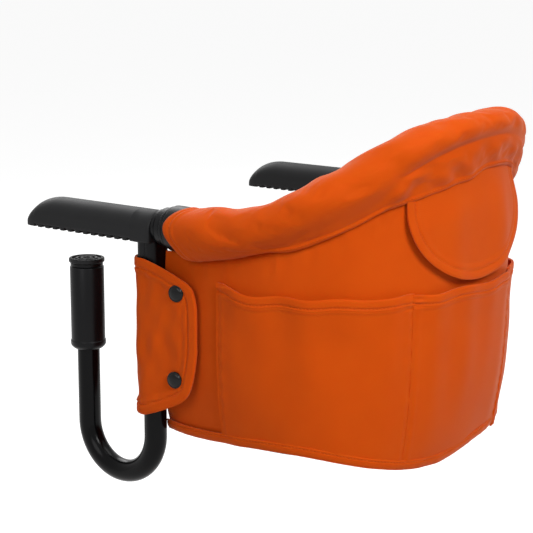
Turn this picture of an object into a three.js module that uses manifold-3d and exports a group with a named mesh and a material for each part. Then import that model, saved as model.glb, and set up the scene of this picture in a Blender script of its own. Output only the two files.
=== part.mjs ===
// Clip-on chair for a baby, hung on the edge of a table.
// Millimetres, +Z up. The table lies towards -Y and the seat towards +Y.
// The origin is on the table top's plane, midway between the two clamps,
// level with the rear legs of the hooks.

import * as THREE from "three";
import { mergeVertices } from "three/addons/utils/BufferGeometryUtils.js";
import Module from "manifold-3d";

const wasm = await Module();
wasm.setup();

// Fits that all the pieces share
const fitGap = 0.3;
const turnGap = 0.6;
const overrun = 2;

// Steel tube, the same for frame, arms and hooks
const tubeRadius = 11;
const tubeWall = 1.5;

// Where the clamps stand and what they hold
const armSpacing = 346;
const armHeight = 15;
const tableThickness = 27;
const hookSpacing = 90;
const hookDepth = 236.4;

// Rubber boot on each arm, with its toothed sole
const bootRear = 10.6;
const bootLength = 173.6;
const bootHalfWidth = 18;
const bootHeight = 30;
const noseLength = 46;
const noseTip = 4;
const nosePower = 2.6;
const toothPitch = 9.7;
const toothDepth = 2.5;
const toothGap = 4.2;
const toothFlankWidth = 0.7;
const firstTooth = 25.6;
const toothRun = 132;
const armTubeInBoot = 138.3;
const armTubeStop = 2.6;

// Hub housing: barrel behind the boot, sleeve on the arm tube, and neck
const hubLength = 13.1;
const hubRadius = 16.2;
const hubFront = 5;
const hubLipRadius = 18.4;
const hubEdge = 1;
const hubSleeveRadius = 13.2;
const neckHalfWidth = 13.2;
const neckFront = -13.2;
const neckRear = 11;
const neckCorner = 8;
const neckDepth = 58;
const neckSeam = 1.4;
const neckSeamDepth = 0.8;
const neckSeamPlace = 1.5;
const neckSeamEnd = 8;
const neckPinRadius = 3;
const neckPinDepth = 32;
const hookTop = -1.5;

// Turning joint between hub and frame
const pivotRadius = 4.2;
const pivotHead = 3;
const pivotHeadRadius = 8;
const pivotGrip = 12.4;
const collarRadius = 21.6;
const collarLipRadius = 20.2;
const collarLip = 4;
const collarLength = 12.8;
const collarFace = 3.7;
const collarPlug = 8.6;
const collarEdge = 1;
const rivetRadius = 2;
const rivetPlace = 4.5;
const rivetDepth = 5.4;

// Twist grip, spindle and pressure pad
const gripRadius = 16.75;
const gripLip = 0.7;
const gripLipHeight = 4;
const gripTaper = 4;
const gripEndRadius = 13.6;
const gripBottom = 118;
const gripBore = 12.5;
const gripUpperBore = 10;
const gripShoulder = 75;
const nutHeight = 12;
const nutRadius = 12.1;
const spindleRadius = 6;
const spindleTop = 51;
const freeLegTop = 108;
const insertFlange = 1.6;
const insertLength = 18;
const padRadius = 17.5;
const padHeight = 4.6;
const padCup = 1.6;
const padRim = 3;
const padRings = 2;
const padRingWidth = 1.4;
const carrierHeight = 3;
const carrierRadius = 16;
const carrierSpigot = 8;
const carrierBore = 7;

// Seat frame path, seen from above, and its rise to the back
const frameFront = 15.8;
const frameLevel = 41.2;
const frameBend = 55;
const frameDepth = 245;
const framePower = 2.35;
const frameRise = 91;
const riseShare = 0.75;

// Padded roll on the frame
const rollGap = 0.9;
const rollFrontRadius = 24;
const rollBackRadius = 21;
const rollEnd = 6;
const rollSeamGap = 0.6;

// Skirt of the padded roll, sewn to the wall along a lip
const skirtCloth = 2.4;
const skirtHeight = 21;
const skirtPower = 1.7;
const skirtStartShare = 0.16;

// Fabric seat
const seatFront = 15.5;
const clothWall = 3;
const layGap = 0.6;
const hemInset = 10;
const hemBend = 66;
const hemDepth = 229;
const hemPower = 2.8;
const hemFrontZ = -184;
const hemRearZ = -190;
const wallBulge = 3;
const wallSpring = 2.4;
const wallRowPower = 1.6;
const basePanelHeight = 4;
const baseBoardHeight = 5;
const baseBoardInset = 4;
const cushionHeight = 20;
const cushionInset = 3;
const cushionFront = 12;
const frontPanelPeak = -92;
const frontPanelDip = -148;
const frontPanelSide = -62;
const pocketCloth = 2.4;
const pocketHemZ = -36;
const flapCloth = 2.4;
const flapLowZ = -31;
const flapDrop = 6;
const bindingCloth = 2.4;
const bindingHeight = 6.5;
const bindingFold = 3.5;

// Cloth sleeve round each hook's rear leg
const sleeveCloth = 2.4;
const sleeveRadius = 16;
const sleeveCorner = 9;
const sleeveInner = seatFront - fitGap;
const sleeveTail = 60;
const sleeveTailIn = 9;
const sleeveTop = -13;
const sleeveBottom = -168;
const sleeveDrop = 34;
const sleeveLift = 24;
const sleeveCornerLift = 26;
const snapRadius = 8;
const snapHeight = 4;
const snapSet = 40;
const snapUpperZ = -44;
const snapLowerZ = -127;

// Harness
const strapWidth = 25;
const strapCloth = 1.8;
const buckleWidth = 44;
const buckleHeight = 36;
const buckleDepth = 13;
const buckleCorner = 9;
const buckleY = 84;
const buckleZ = -112;
const buckleButtonRadius = 8;
const buckleButtonTravel = 2.5;
const buckleButtonStand = 1.2;
const tongueLength = 10;
const tongueHeight = 15;
const tongueThickness = 3;
const tonguePlate = 21;
const tongueBar = 4;
const strapAnchorInset = 19;
const strapAnchorY = 150;
const strapAnchorZ = -128;
const strapSag = 34;

// How finely curves are divided
const roundSides = 20;
const smallSides = 12;
const tubeSides = 14;
const frameSides = 12;
const frameSteps = 34;
const hookBendSteps = 10;
const noseSteps = 8;
const wallColumns = 40;
const wallRows = 5;
const sleeveColumns = 20;
const sleeveRows = 6;
const pocketColumns = 11;
const flapColumns = 12;
const skirtColumns = 28;
const skirtRows = 3;
const panelColumns = 16;
const strapColumns = 8;
const clothRows = 4;

const gripTop = tableThickness + padHeight + carrierHeight + fitGap + fitGap;
const armX = armSpacing / 2;
const hemHalfWidth = armX - hemInset;
const strapAnchorX = hemHalfWidth - strapAnchorInset;
const hubRear = bootRear + fitGap + hubLength;
const collarFront = hubRear + turnGap;
const collarRear = collarFront + collarLength;
const tubeBore = tubeRadius - tubeWall;
const plugRadius = tubeBore * Math.cos(Math.PI / frameSides) - fitGap;

const X = new THREE.Vector3(1, 0, 0);
const Y = new THREE.Vector3(0, 1, 0);
const Z = new THREE.Vector3(0, 0, 1);

const materials = {
  rubber: new THREE.MeshStandardMaterial({ color: 0x2a2a2b, roughness: 0.62 }),
  nylon: new THREE.MeshStandardMaterial({ color: 0x1b1b1c, roughness: 0.45 }),
  paintedSteel: new THREE.MeshStandardMaterial({ color: 0x0e0e0f, roughness: 0.3, metalness: 0.4 }),
  zincSteel: new THREE.MeshStandardMaterial({ color: 0xa9adb0, roughness: 0.35, metalness: 0.9 }),
  snapBlack: new THREE.MeshStandardMaterial({ color: 0x111112, roughness: 0.2, metalness: 0.3 }),
  canvas: new THREE.MeshStandardMaterial({ color: 0xd4531a, roughness: 0.85 }),
  cushion: new THREE.MeshStandardMaterial({ color: 0xd95a20, roughness: 0.9 }),
  board: new THREE.MeshStandardMaterial({ color: 0x3a3a3c, roughness: 0.7 }),
  webbing: new THREE.MeshStandardMaterial({ color: 0x1a1a1b, roughness: 0.9 }),
};

// Building and cutting solids

function signedVolume(geometry) {
  const p = geometry.attributes.position;
  const corners = [new THREE.Vector3(), new THREE.Vector3(), new THREE.Vector3()];
  let sum = 0;
  for (let i = 0; i < p.count; i += 3) {
    corners.forEach((corner, k) => corner.fromBufferAttribute(p, i + k));
    sum += corners[0].dot(corners[1].cross(corners[2]));
  }
  return sum;
}

// A closed body from any closed surface, with its faces pointing out
function closed(geometry) {
  const loose = geometry.index ? geometry.toNonIndexed() : geometry.clone();
  loose.deleteAttribute("normal");
  loose.deleteAttribute("uv");
  const inverted = signedVolume(loose) < 0;
  const merged = mergeVertices(loose);
  const kept = [];
  const index = merged.index.array;
  for (let i = 0; i < index.length; i += 3) {
    const [a, b, c] = [index[i], index[i + 1], index[i + 2]];
    if (a !== b && b !== c && c !== a) kept.push(...(inverted ? [a, c, b] : [a, b, c]));
  }
  merged.setIndex(kept);
  return merged;
}

function solidOf(geometry) {
  const body = closed(geometry);
  const vertProperties = new Float32Array(body.attributes.position.array);
  const triVerts = new Uint32Array(body.index.array);
  return new wasm.Manifold(new wasm.Mesh({ numProp: 3, vertProperties, triVerts }));
}

function geometryOf(solid) {
  const mesh = solid.getMesh();
  const geometry = new THREE.BufferGeometry();
  geometry.setAttribute("position", new THREE.BufferAttribute(mesh.vertProperties, 3));
  geometry.setIndex(new THREE.BufferAttribute(mesh.triVerts, 1));
  return geometry;
}

function joined(...geometries) {
  return geometryOf(geometries.map(solidOf).reduce((sum, next) => sum.add(next)));
}

function cut(geometry, ...tools) {
  return geometryOf(tools.map(solidOf).reduce((rest, tool) => rest.subtract(tool), solidOf(geometry)));
}

function shared(...geometries) {
  return geometryOf(geometries.map(solidOf).reduce((rest, next) => rest.intersect(next)));
}

// A solid of revolution about Y from a closed outline of [radius, height] pairs
function turned(outline, sides = roundSides) {
  const points = outline.map(([radius, height]) => new THREE.Vector2(radius, height));
  if (outline[0][0] > 0) points.push(points[0].clone());
  return closed(new THREE.LatheGeometry(points, sides));
}

const uprightly = (geometry) => geometry.rotateX(Math.PI / 2);
const acrossX = (geometry) => geometry.rotateZ(-Math.PI / 2);

// A rod along Y from one place to another
function rodY(radius, from, to, sides = roundSides) {
  return new THREE.CylinderGeometry(radius, radius, to - from, sides).translate(0, (from + to) / 2, 0);
}

function rodZ(radius, from, to, sides = roundSides) {
  return uprightly(rodY(radius, from, to, sides));
}

function rodX(radius, from, to, sides = roundSides) {
  return acrossX(rodY(radius, from, to, sides));
}

function prism(shape, depth, curveSegments = smallSides) {
  return closed(new THREE.ExtrudeGeometry(shape, { depth, bevelEnabled: false, curveSegments }));
}

// A shape drawn in Y and Z, run along X from -half to +half
function prismX(shape, half, curveSegments) {
  const basis = new THREE.Matrix4().makeBasis(Y, Z, X);
  return prism(shape, half + half, curveSegments).applyMatrix4(basis).translate(-half, 0, 0);
}

function roundedRectangle(left, right, low, high, radius) {
  const shape = new THREE.Shape();
  shape.moveTo(left + radius, low);
  shape.absarc(right - radius, low + radius, radius, -Math.PI / 2, 0);
  shape.absarc(right - radius, high - radius, radius, 0, Math.PI / 2);
  shape.absarc(left + radius, high - radius, radius, Math.PI / 2, Math.PI);
  shape.absarc(left + radius, low + radius, radius, Math.PI, (Math.PI * 3) / 2);
  return shape;
}

// A closed body between two sheets of points that run round it alike
function between(outer, inner, wraps) {
  const corners = [];
  const quad = (a, b, c, d) => corners.push(a, b, c, a, c, d);
  const rows = outer.length;
  const columns = outer[0].length;
  const lastColumn = wraps ? columns : columns - 1;
  for (let i = 0; i + 1 < rows; i += 1) {
    for (let j = 0; j < lastColumn; j += 1) {
      const k = (j + 1) % columns;
      quad(outer[i][j], outer[i][k], outer[i + 1][k], outer[i + 1][j]);
      quad(inner[i][j], inner[i + 1][j], inner[i + 1][k], inner[i][k]);
    }
  }
  for (let j = 0; j < lastColumn; j += 1) {
    const k = (j + 1) % columns;
    const end = rows - 1;
    quad(inner[0][j], inner[0][k], outer[0][k], outer[0][j]);
    quad(outer[end][j], outer[end][k], inner[end][k], inner[end][j]);
  }
  for (let i = 0; i + 1 < rows && !wraps; i += 1) {
    const end = columns - 1;
    quad(outer[i][0], outer[i + 1][0], inner[i + 1][0], inner[i][0]);
    quad(inner[i][end], inner[i + 1][end], outer[i + 1][end], outer[i][end]);
  }
  return closed(new THREE.BufferGeometry().setFromPoints(corners));
}

// Cloth of a given thickness: pointAt(along, across, depth), shares of 0 to 1
function cloth(pointAt, thickness, columns, rows = clothRows) {
  const sheet = (depth) => Array.from({ length: columns + 1 }, (_, i) =>
    Array.from({ length: rows + 1 }, (_, j) => pointAt(i / columns, j / rows, depth)));
  return between(sheet(0), sheet(thickness), false);
}

// Webbing laid flat along a curve, its width turned towards a direction
function webbing(curve, direction, width = strapWidth, thickness = strapCloth, columns = strapColumns) {
  const pointAt = (along, across, depth) => {
    const tangent = curve.getTangentAt(along);
    const side = direction.clone().addScaledVector(tangent, -direction.dot(tangent)).normalize();
    const out = new THREE.Vector3().crossVectors(tangent, side);
    return curve.getPointAt(along)
      .addScaledVector(side, (across - 1 / 2) * width)
      .addScaledVector(out, thickness / 2 - depth);
  };
  return cloth(pointAt, thickness, columns, 1);
}

function mirrored(geometry, side) {
  if (side > 0) return geometry;
  return closed(geometry.clone().applyMatrix4(new THREE.Matrix4().makeScale(-1, 1, 1)));
}

function piece(group, name, geometry, material) {
  const mesh = new THREE.Mesh(geometry, materials[material]);
  mesh.name = name;
  group.add(mesh);
  return mesh;
}

// Seat outlines, from the left front corner round the back to the right

class SeatOutline extends THREE.Curve {
  constructor(halfWidth, front, bend, depth, power) {
    super();
    Object.assign(this, { halfWidth, front, bend, depth, power });
  }

  getPoint(t, target = new THREE.Vector3()) {
    const straightShare = 0.2;
    const side = t < 1 / 2 ? 1 : -1;
    const fromFront = Math.min(t, 1 - t);
    if (fromFront < straightShare) {
      const y = THREE.MathUtils.lerp(this.front, this.bend, fromFront / straightShare);
      return target.set(side * this.halfWidth, y, 0);
    }
    const turn = ((fromFront - straightShare) / (1 / 2 - straightShare)) * (Math.PI / 2);
    const x = this.halfWidth * Math.abs(Math.cos(turn)) ** (2 / this.power);
    const y = this.bend + (this.depth - this.bend) * Math.sin(turn) ** (2 / this.power);
    return target.set(side * x, y, 0);
  }
}

const frameOutline = new SeatOutline(armX, frameFront, frameBend, frameDepth, framePower);
const hemOutline = new SeatOutline(hemHalfWidth, seatFront, hemBend, hemDepth, hemPower);

function frameHeight(y) {
  const back = Math.max(0, (y - frameLevel) / (frameDepth - frameLevel));
  return armHeight + frameRise * (riseShare * back ** 2 + (1 - riseShare) * back ** 3);
}

function baseHeight(y) {
  return hemFrontZ + ((hemRearZ - hemFrontZ) * (y - seatFront)) / (hemDepth - seatFront);
}

function rollRadiusAt(y) {
  const back = Math.max(0, (y - frameFront) / (frameDepth - frameFront));
  return THREE.MathUtils.lerp(rollFrontRadius, rollBackRadius, back);
}

function framePoint(along) {
  const point = frameOutline.getPointAt(along);
  return point.setZ(frameHeight(point.y));
}

class FramePath extends THREE.Curve {
  getPoint(t, target = new THREE.Vector3()) {
    return target.copy(framePoint(t));
  }

  getPointAt(u, target) {
    return this.getPoint(u, target);
  }

  getTangentAt(u, target) {
    return this.getTangent(u, target);
  }
}

// The steel tube, from inside one collar round to the other
class TubePath extends FramePath {
  getPoint(t, target = new THREE.Vector3()) {
    const start = (collarFront + collarFace + fitGap - frameFront) / frameOutline.getLength();
    return target.copy(framePoint(THREE.MathUtils.lerp(start, 1 - start, t)));
  }
}

// How far below the frame's axis the roll reaches, more where the frame climbs
function rollDrop(along) {
  const climb = new FramePath().getTangent(along).z;
  return rollRadiusAt(framePoint(along).y) / Math.sqrt(1 - climb ** 2) + rollSeamGap;
}

// A point of the seat's wall: round the seat, up from hem to roll, and inwards.
// The wall springs out from the hem and then stands nearly upright.
function wallPoint(along, rise, depth) {
  const low = hemOutline.getPointAt(along);
  const high = framePoint(along);
  const lowTangent = hemOutline.getTangentAt(along);
  const spread = 1 - Math.max(0, 1 - rise) ** wallSpring;
  const tangent = frameOutline.getTangentAt(along).lerp(lowTangent, 1 - spread).normalize();
  const out = new THREE.Vector3(tangent.y, -tangent.x, 0);
  const top = high.z - rollDrop(along);
  const z = THREE.MathUtils.lerp(baseHeight(low.y), top, rise);
  const bulge = wallBulge * Math.sin(Math.PI * rise);
  return low.lerp(high, spread).addScaledVector(out, bulge - depth).setZ(z);
}

function riseAt(along, z) {
  const low = wallPoint(along, 0, 0).z;
  const high = wallPoint(along, 1, 0).z;
  return (z - low) / (high - low);
}

// How high the lip of the skirt runs, close under the roll in front and lower at the back
function lipHeight(along) {
  const back = (framePoint(along).y - frameFront) / (frameDepth - frameFront);
  return wallPoint(along, 1, 0).z - skirtHeight * back ** skirtPower;
}

// Frame of the seat

function frameTube() {
  const section = new THREE.Shape();
  section.absarc(0, 0, tubeRadius, 0, Math.PI * 2);
  const bore = new THREE.Path();
  bore.absarc(0, 0, tubeBore, 0, Math.PI * 2, true);
  section.holes.push(bore);
  const options = { extrudePath: new TubePath(), steps: frameSteps, curveSegments: frameSides / 2 };
  return closed(new THREE.ExtrudeGeometry(section, options));
}

function framedRing(along, radius) {
  const path = new FramePath();
  const tangent = path.getTangentAt(along);
  const side = new THREE.Vector3().crossVectors(tangent, Z).normalize();
  const up = new THREE.Vector3().crossVectors(side, tangent);
  const centre = framePoint(along);
  return Array.from({ length: frameSides }, (_, i) => {
    const turn = (i / frameSides) * Math.PI * 2;
    return centre.clone()
      .addScaledVector(side, radius * Math.cos(turn))
      .addScaledVector(up, radius * Math.sin(turn));
  });
}

// The roll starts behind the collars and its ends are drawn in
function paddedRoll() {
  const length = frameOutline.getLength();
  const start = (collarRear + fitGap - frameFront) / length;
  const endShares = [[0, 0.8], [0.45, 0.95], [1, 1]];
  const places = endShares.map(([share, girth]) => [start + (share * rollEnd) / length, girth]);
  const middle = Array.from({ length: frameSteps - 1 }, (_, i) =>
    [start + ((i + 1) / frameSteps) * (1 - start - start), 1]);
  const back = places.map(([along, girth]) => [1 - along, girth]).reverse();
  const stations = [...places, ...middle, ...back];
  const outer = stations.map(([along, girth]) =>
    framedRing(along, rollRadiusAt(framePoint(along).y) * girth));
  const inner = stations.map(([along]) => framedRing(along, tubeRadius + rollGap));
  return between(outer, inner, true);
}

function collarOutline() {
  const bore = pivotRadius + fitGap;
  const socket = tubeRadius + fitGap;
  return [
    [bore, collarFront],
    [collarLipRadius - collarEdge, collarFront],
    [collarLipRadius, collarFront + collarEdge],
    [collarLipRadius, collarFront + collarLip],
    [collarRadius, collarFront + collarLip + collarEdge],
    [collarRadius, collarRear - collarEdge],
    [collarRadius - collarEdge, collarRear],
    [socket, collarRear],
    [socket, collarFront + collarFace],
    [plugRadius, collarFront + collarFace],
    [plugRadius, collarRear + collarPlug],
    [bore, collarRear + collarPlug],
  ];
}

function buildFrame(seat) {
  const rivetY = collarRear + rivetPlace;
  const rivetHole = (side) => rodZ(rivetRadius + fitGap, -tubeRadius - overrun, -rivetDepth, smallSides)
    .translate(side * armX, rivetY, armHeight);
  piece(seat, "rim_tube", cut(frameTube(), rivetHole(1), rivetHole(-1)), "paintedSteel");
  piece(seat, "rim_pad", paddedRoll(), "cushion");
  for (const [side, name] of [[1, "left"], [-1, "right"]]) {
    const collar = turned(collarOutline()).translate(side * armX, 0, armHeight);
    piece(seat, `rear_collar_${name}`, cut(collar, rivetHole(side)), "nylon");
    const rivet = rodZ(rivetRadius, -tubeRadius, -rivetDepth - fitGap, smallSides);
    piece(seat, `collar_rivet_${name}`, rivet.translate(side * armX, rivetY, armHeight), "zincSteel");
  }
}

// Fabric seat

function basePlate(inset, front, thickness) {
  const shape = new THREE.Shape();
  const steps = wallColumns;
  for (let i = 0; i <= steps; i += 1) {
    const along = i / steps;
    const tangent = hemOutline.getTangentAt(along);
    const p = hemOutline.getPointAt(along);
    const x = p.x - tangent.y * inset;
    const y = Math.max(p.y + tangent.x * inset, front);
    if (i === 0) shape.moveTo(x, y);
    else shape.lineTo(x, y);
  }
  shape.closePath();
  return prism(shape, thickness);
}

// Tilts a level plate so that it follows the seat's base
function laidOnBase(geometry, lift) {
  const p = geometry.attributes.position;
  for (let i = 0; i < p.count; i += 1) p.setZ(i, p.getZ(i) + lift + baseHeight(p.getY(i)));
  return geometry;
}

// The cushion is crowned and its sides pull in below the edge
function seatCushion() {
  const profileShares = [
    [0, 0], [0.9, 0], [0.97, 0.16], [1, 0.42],
    [0.965, 0.66], [0.86, 0.83], [0.6, 0.95], [0, 1],
  ];
  const disc = uprightly(new THREE.LatheGeometry(
    profileShares.map(([radius, height]) => new THREE.Vector2(radius, height)), wallColumns));
  const centreY = (seatFront + hemDepth) / 2;
  const inset = clothWall + cushionInset;
  const p = disc.attributes.position;
  for (let i = 0; i < p.count; i += 1) {
    const reach = Math.hypot(p.getX(i), p.getY(i));
    const turn = Math.atan2(p.getY(i), p.getX(i));
    const edge = cushionEdge(turn, centreY, inset);
    p.setXYZ(i, reach * edge.x, centreY + reach * edge.y, p.getZ(i) * cushionHeight);
  }
  return laidOnBase(closed(disc), baseBoardHeight + fitGap + fitGap);
}

// Where a ray from the cushion's centre meets its outline
function cushionEdge(turn, centreY, inset) {
  const [cx, cy] = [Math.cos(turn), Math.sin(turn)];
  const halfWidth = hemHalfWidth - inset;
  const front = centreY - seatFront - cushionFront;
  const bend = hemBend - centreY;
  const back = hemDepth - inset - hemBend;
  const inside = (reach) => {
    const [x, y] = [Math.abs(cx * reach), cy * reach];
    if (y < -front || x > halfWidth) return false;
    if (y <= bend) return true;
    return (x / halfWidth) ** hemPower + ((y - bend) / back) ** hemPower <= 1;
  };
  let near = 0;
  let far = hemDepth;
  const halvings = 30;
  for (let i = 0; i < halvings; i += 1) {
    const middle = (near + far) / 2;
    if (inside(middle)) near = middle;
    else far = middle;
  }
  return { x: cx * near, y: cy * near };
}

// The front panel dips for each leg and rises between them
function frontPanel() {
  const half = hemHalfWidth - clothWall - fitGap - fitGap;
  const pointAt = (along, up, depth) => {
    const x = THREE.MathUtils.lerp(-half, half, along);
    const fromCentre = Math.abs(x) / half;
    const wave = (1 - Math.cos(fromCentre * Math.PI * 2)) / 2;
    const rim = THREE.MathUtils.lerp(frontPanelPeak, frontPanelSide, fromCentre ** 2);
    const top = rim + (frontPanelDip - rim) * wave;
    const y = seatFront + depth;
    const low = baseHeight(y) + fitGap;
    return new THREE.Vector3(x, y, THREE.MathUtils.lerp(low, top, up));
  };
  return cloth(pointAt, clothWall, panelColumns, clothRows);
}

function pocket(from, to) {
  const pointAt = (along, up, depth) => {
    const place = THREE.MathUtils.lerp(from, to, along);
    const seamShare = 0.015;
    const rise = THREE.MathUtils.lerp(seamShare, riseAt(place, pocketHemZ), up ** wallRowPower);
    return wallPoint(place, rise, depth - layGap - pocketCloth);
  };
  return cloth(pointAt, pocketCloth, pocketColumns);
}

// From the lip on the wall the skirt runs out and up to the roll's lower side
function rollSkirt() {
  const attachTurns = [-Math.PI / 2.1, -Math.PI / 4];
  const pointAt = (along, up, depth) => {
    const place = THREE.MathUtils.lerp(skirtStartShare, 1 - skirtStartShare, along);
    const centre = framePoint(place);
    const tangent = new FramePath().getTangentAt(place);
    const side = new THREE.Vector3().crossVectors(tangent, Z).normalize();
    const over = new THREE.Vector3().crossVectors(side, tangent);
    const back = (centre.y - frameFront) / (frameDepth - frameFront);
    const turn = THREE.MathUtils.lerp(attachTurns[0], attachTurns[1], back);
    const radius = rollRadiusAt(centre.y) + rollSeamGap + skirtCloth - depth;
    const high = centre.addScaledVector(side, radius * Math.cos(turn))
      .addScaledVector(over, radius * Math.sin(turn));
    const low = wallPoint(place, riseAt(place, lipHeight(place)), depth - layGap - skirtCloth);
    const middle = low.clone().lerp(high, 1 / 2);
    middle.x = (middle.x + low.x) / 2;
    middle.y = (middle.y + low.y) / 2;
    return low.lerp(middle, up).lerp(middle.lerp(high, up), up);
  };
  return cloth(pointAt, skirtCloth, skirtColumns, skirtRows);
}

// Binding that covers the seam between wall and base all round
function baseBinding() {
  const pointAt = (along, up, depth) => {
    const low = wallPoint(along, 0, 0).z;
    const rise = riseAt(along, low - bindingFold + up * (bindingFold + bindingHeight));
    return wallPoint(along, rise, depth - layGap - pocketCloth - layGap - bindingCloth);
  };
  return cloth(pointAt, bindingCloth, wallColumns, 1);
}

function pocketFlap() {
  const flapEndShares = [0.35, 0.65];
  const edgePower = 3.2;
  const pointAt = (along, up, depth) => {
    const place = THREE.MathUtils.lerp(flapEndShares[0], flapEndShares[1], along);
    const low = riseAt(place, flapLowZ);
    const fromCentre = Math.abs(along + along - 1);
    const almostTopShare = 0.93;
    const top = riseAt(place, lipHeight(place) - flapDrop);
    const edge = THREE.MathUtils.lerp(low, top * almostTopShare, fromCentre ** edgePower);
    const rise = THREE.MathUtils.lerp(edge, top, up);
    const overPocket = (1 - up) * (pocketCloth + layGap);
    return wallPoint(place, rise, depth - layGap - flapCloth - overPocket);
  };
  return cloth(pointAt, flapCloth, flapColumns);
}

function buildSeat(seat) {
  const wallAt = (along, up, depth) => wallPoint(along, up ** wallRowPower, depth);
  const wall = cloth(wallAt, clothWall, wallColumns, wallRows);
  piece(seat, "seat_wall", wall, "canvas");
  const base = basePlate(0, seatFront, basePanelHeight);
  piece(seat, "base_panel", laidOnBase(base, -basePanelHeight - fitGap), "canvas");
  const board = basePlate(baseBoardInset, seatFront + clothWall + fitGap, baseBoardHeight);
  piece(seat, "base_board", laidOnBase(board, 0), "board");
  piece(seat, "seat_cushion", seatCushion(), "cushion");
  piece(seat, "front_panel", frontPanel(), "canvas");
  const seamShares = { front: 0.1, rear: 0.375, backStart: 0.3785 };
  piece(seat, "side_pocket_left", pocket(seamShares.front, seamShares.rear), "canvas");
  piece(seat, "side_pocket_right", pocket(1 - seamShares.rear, 1 - seamShares.front), "canvas");
  piece(seat, "back_pocket", pocket(seamShares.backStart, 1 - seamShares.backStart), "canvas");
  piece(seat, "pocket_flap", pocketFlap(), "canvas");
  piece(seat, "roll_skirt", rollSkirt(), "canvas");
  piece(seat, "base_binding", baseBinding(), "canvas");
}

// Cloth sleeve that holds each hook's rear leg, closed by two snaps

function sleevePath() {
  const path = new THREE.Path();
  const corner = sleeveRadius - sleeveCorner;
  path.moveTo(-sleeveRadius, sleeveInner);
  path.lineTo(-sleeveRadius, -corner);
  path.absarc(-corner, -corner, sleeveCorner, Math.PI, (Math.PI * 3) / 2);
  path.absarc(corner, -corner, sleeveCorner, (Math.PI * 3) / 2, Math.PI * 2);
  path.lineTo(sleeveRadius, neckRear);
  path.lineTo(sleeveRadius - sleeveTailIn, sleeveTail);
  return path;
}

function hookSleeve() {
  const path = sleevePath();
  const pointAt = (along, up, depth) => {
    const p = path.getPointAt(along);
    const tangent = path.getTangentAt(along);
    const out = depth - sleeveCloth / 2;
    const tail = Math.max(0, p.y / sleeveTail) * (p.x > 0 ? 1 : 0);
    const [topPower, slopePower, cornerPower] = [2.2, 1.2, 8];
    const top = sleeveTop - sleeveDrop * tail ** topPower;
    const bottom = sleeveBottom + sleeveLift * tail ** slopePower + sleeveCornerLift * tail ** cornerPower;
    const z = THREE.MathUtils.lerp(bottom, top, up);
    return new THREE.Vector3(p.x - tangent.y * out, p.y + tangent.x * out, z);
  };
  return cloth(pointAt, sleeveCloth, sleeveColumns, sleeveRows);
}

function snapCap() {
  const rollShare = 0.72;
  return acrossX(turned([
    [0, 0],
    [snapRadius, 0],
    [snapRadius, snapHeight / 2],
    [snapRadius * rollShare, snapHeight],
    [snapRadius / 2, snapHeight * rollShare],
    [0, snapHeight * rollShare],
  ], tubeSides));
}

function buildSleeve(seat, side, name) {
  const sleeve = mirrored(hookSleeve(), side).translate(side * armX, 0, 0);
  piece(seat, `hook_sleeve_${name}`, sleeve, "canvas");
  const run = sleeveTail - neckRear;
  const lean = Math.atan2(sleeveTailIn, run);
  const back = (snapSet - neckRear) / run;
  const faceX = sleeveRadius - back * sleeveTailIn + (sleeveCloth / 2 + fitGap) / Math.cos(lean);
  for (const [z, place] of [[snapUpperZ, "upper"], [snapLowerZ, "lower"]]) {
    const cap = mirrored(snapCap().rotateZ(lean).translate(faceX, snapSet, z), side);
    piece(seat, `sleeve_snap_${place}_${name}`, cap.translate(side * armX, 0, 0), "snapBlack");
  }
}

// Clamp: arm, boot, hub and hook

function bootPlan() {
  const shape = new THREE.Shape();
  const noseStart = bootRear - bootLength + noseLength;
  shape.moveTo(bootHalfWidth, bootRear + overrun);
  for (let i = 0; i <= noseSteps + noseSteps; i += 1) {
    const turn = (i / (noseSteps + noseSteps)) * Math.PI;
    const [c, s] = [Math.cos(turn), Math.sin(turn)];
    const x = bootHalfWidth * Math.sign(c) * Math.abs(c) ** (2 / nosePower);
    shape.lineTo(x, noseStart - noseLength * s ** (2 / nosePower));
  }
  shape.lineTo(-bootHalfWidth, bootRear + overrun);
  shape.closePath();
  return shape;
}

function bootSide() {
  const noseStart = bootRear - bootLength + noseLength;
  const tip = bootRear - bootLength;
  const shape = new THREE.Shape();
  shape.moveTo(bootRear, 0);
  shape.lineTo(bootRear, bootHeight);
  shape.lineTo(noseStart, bootHeight);
  shape.absellipse(noseStart, noseTip, noseLength, bootHeight - noseTip, Math.PI / 2, Math.PI);
  shape.lineTo(tip + noseTip, 0);
  shape.closePath();
  return shape;
}

function bootSection() {
  const shape = new THREE.Shape();
  shape.moveTo(-bootHalfWidth, 0);
  shape.lineTo(bootHalfWidth, 0);
  shape.absarc(0, bootHeight - bootHalfWidth, bootHalfWidth, 0, Math.PI);
  shape.closePath();
  return shape;
}

function toothGroove(y) {
  const shape = new THREE.Shape();
  const half = toothGap / 2;
  const foot = half + toothFlankWidth + (toothFlankWidth * overrun) / toothDepth;
  shape.moveTo(y - foot, -overrun);
  shape.lineTo(y + foot, -overrun);
  shape.lineTo(y + half, toothDepth);
  shape.lineTo(y - half, toothDepth);
  shape.closePath();
  return prismX(shape, bootHalfWidth + overrun);
}

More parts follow.
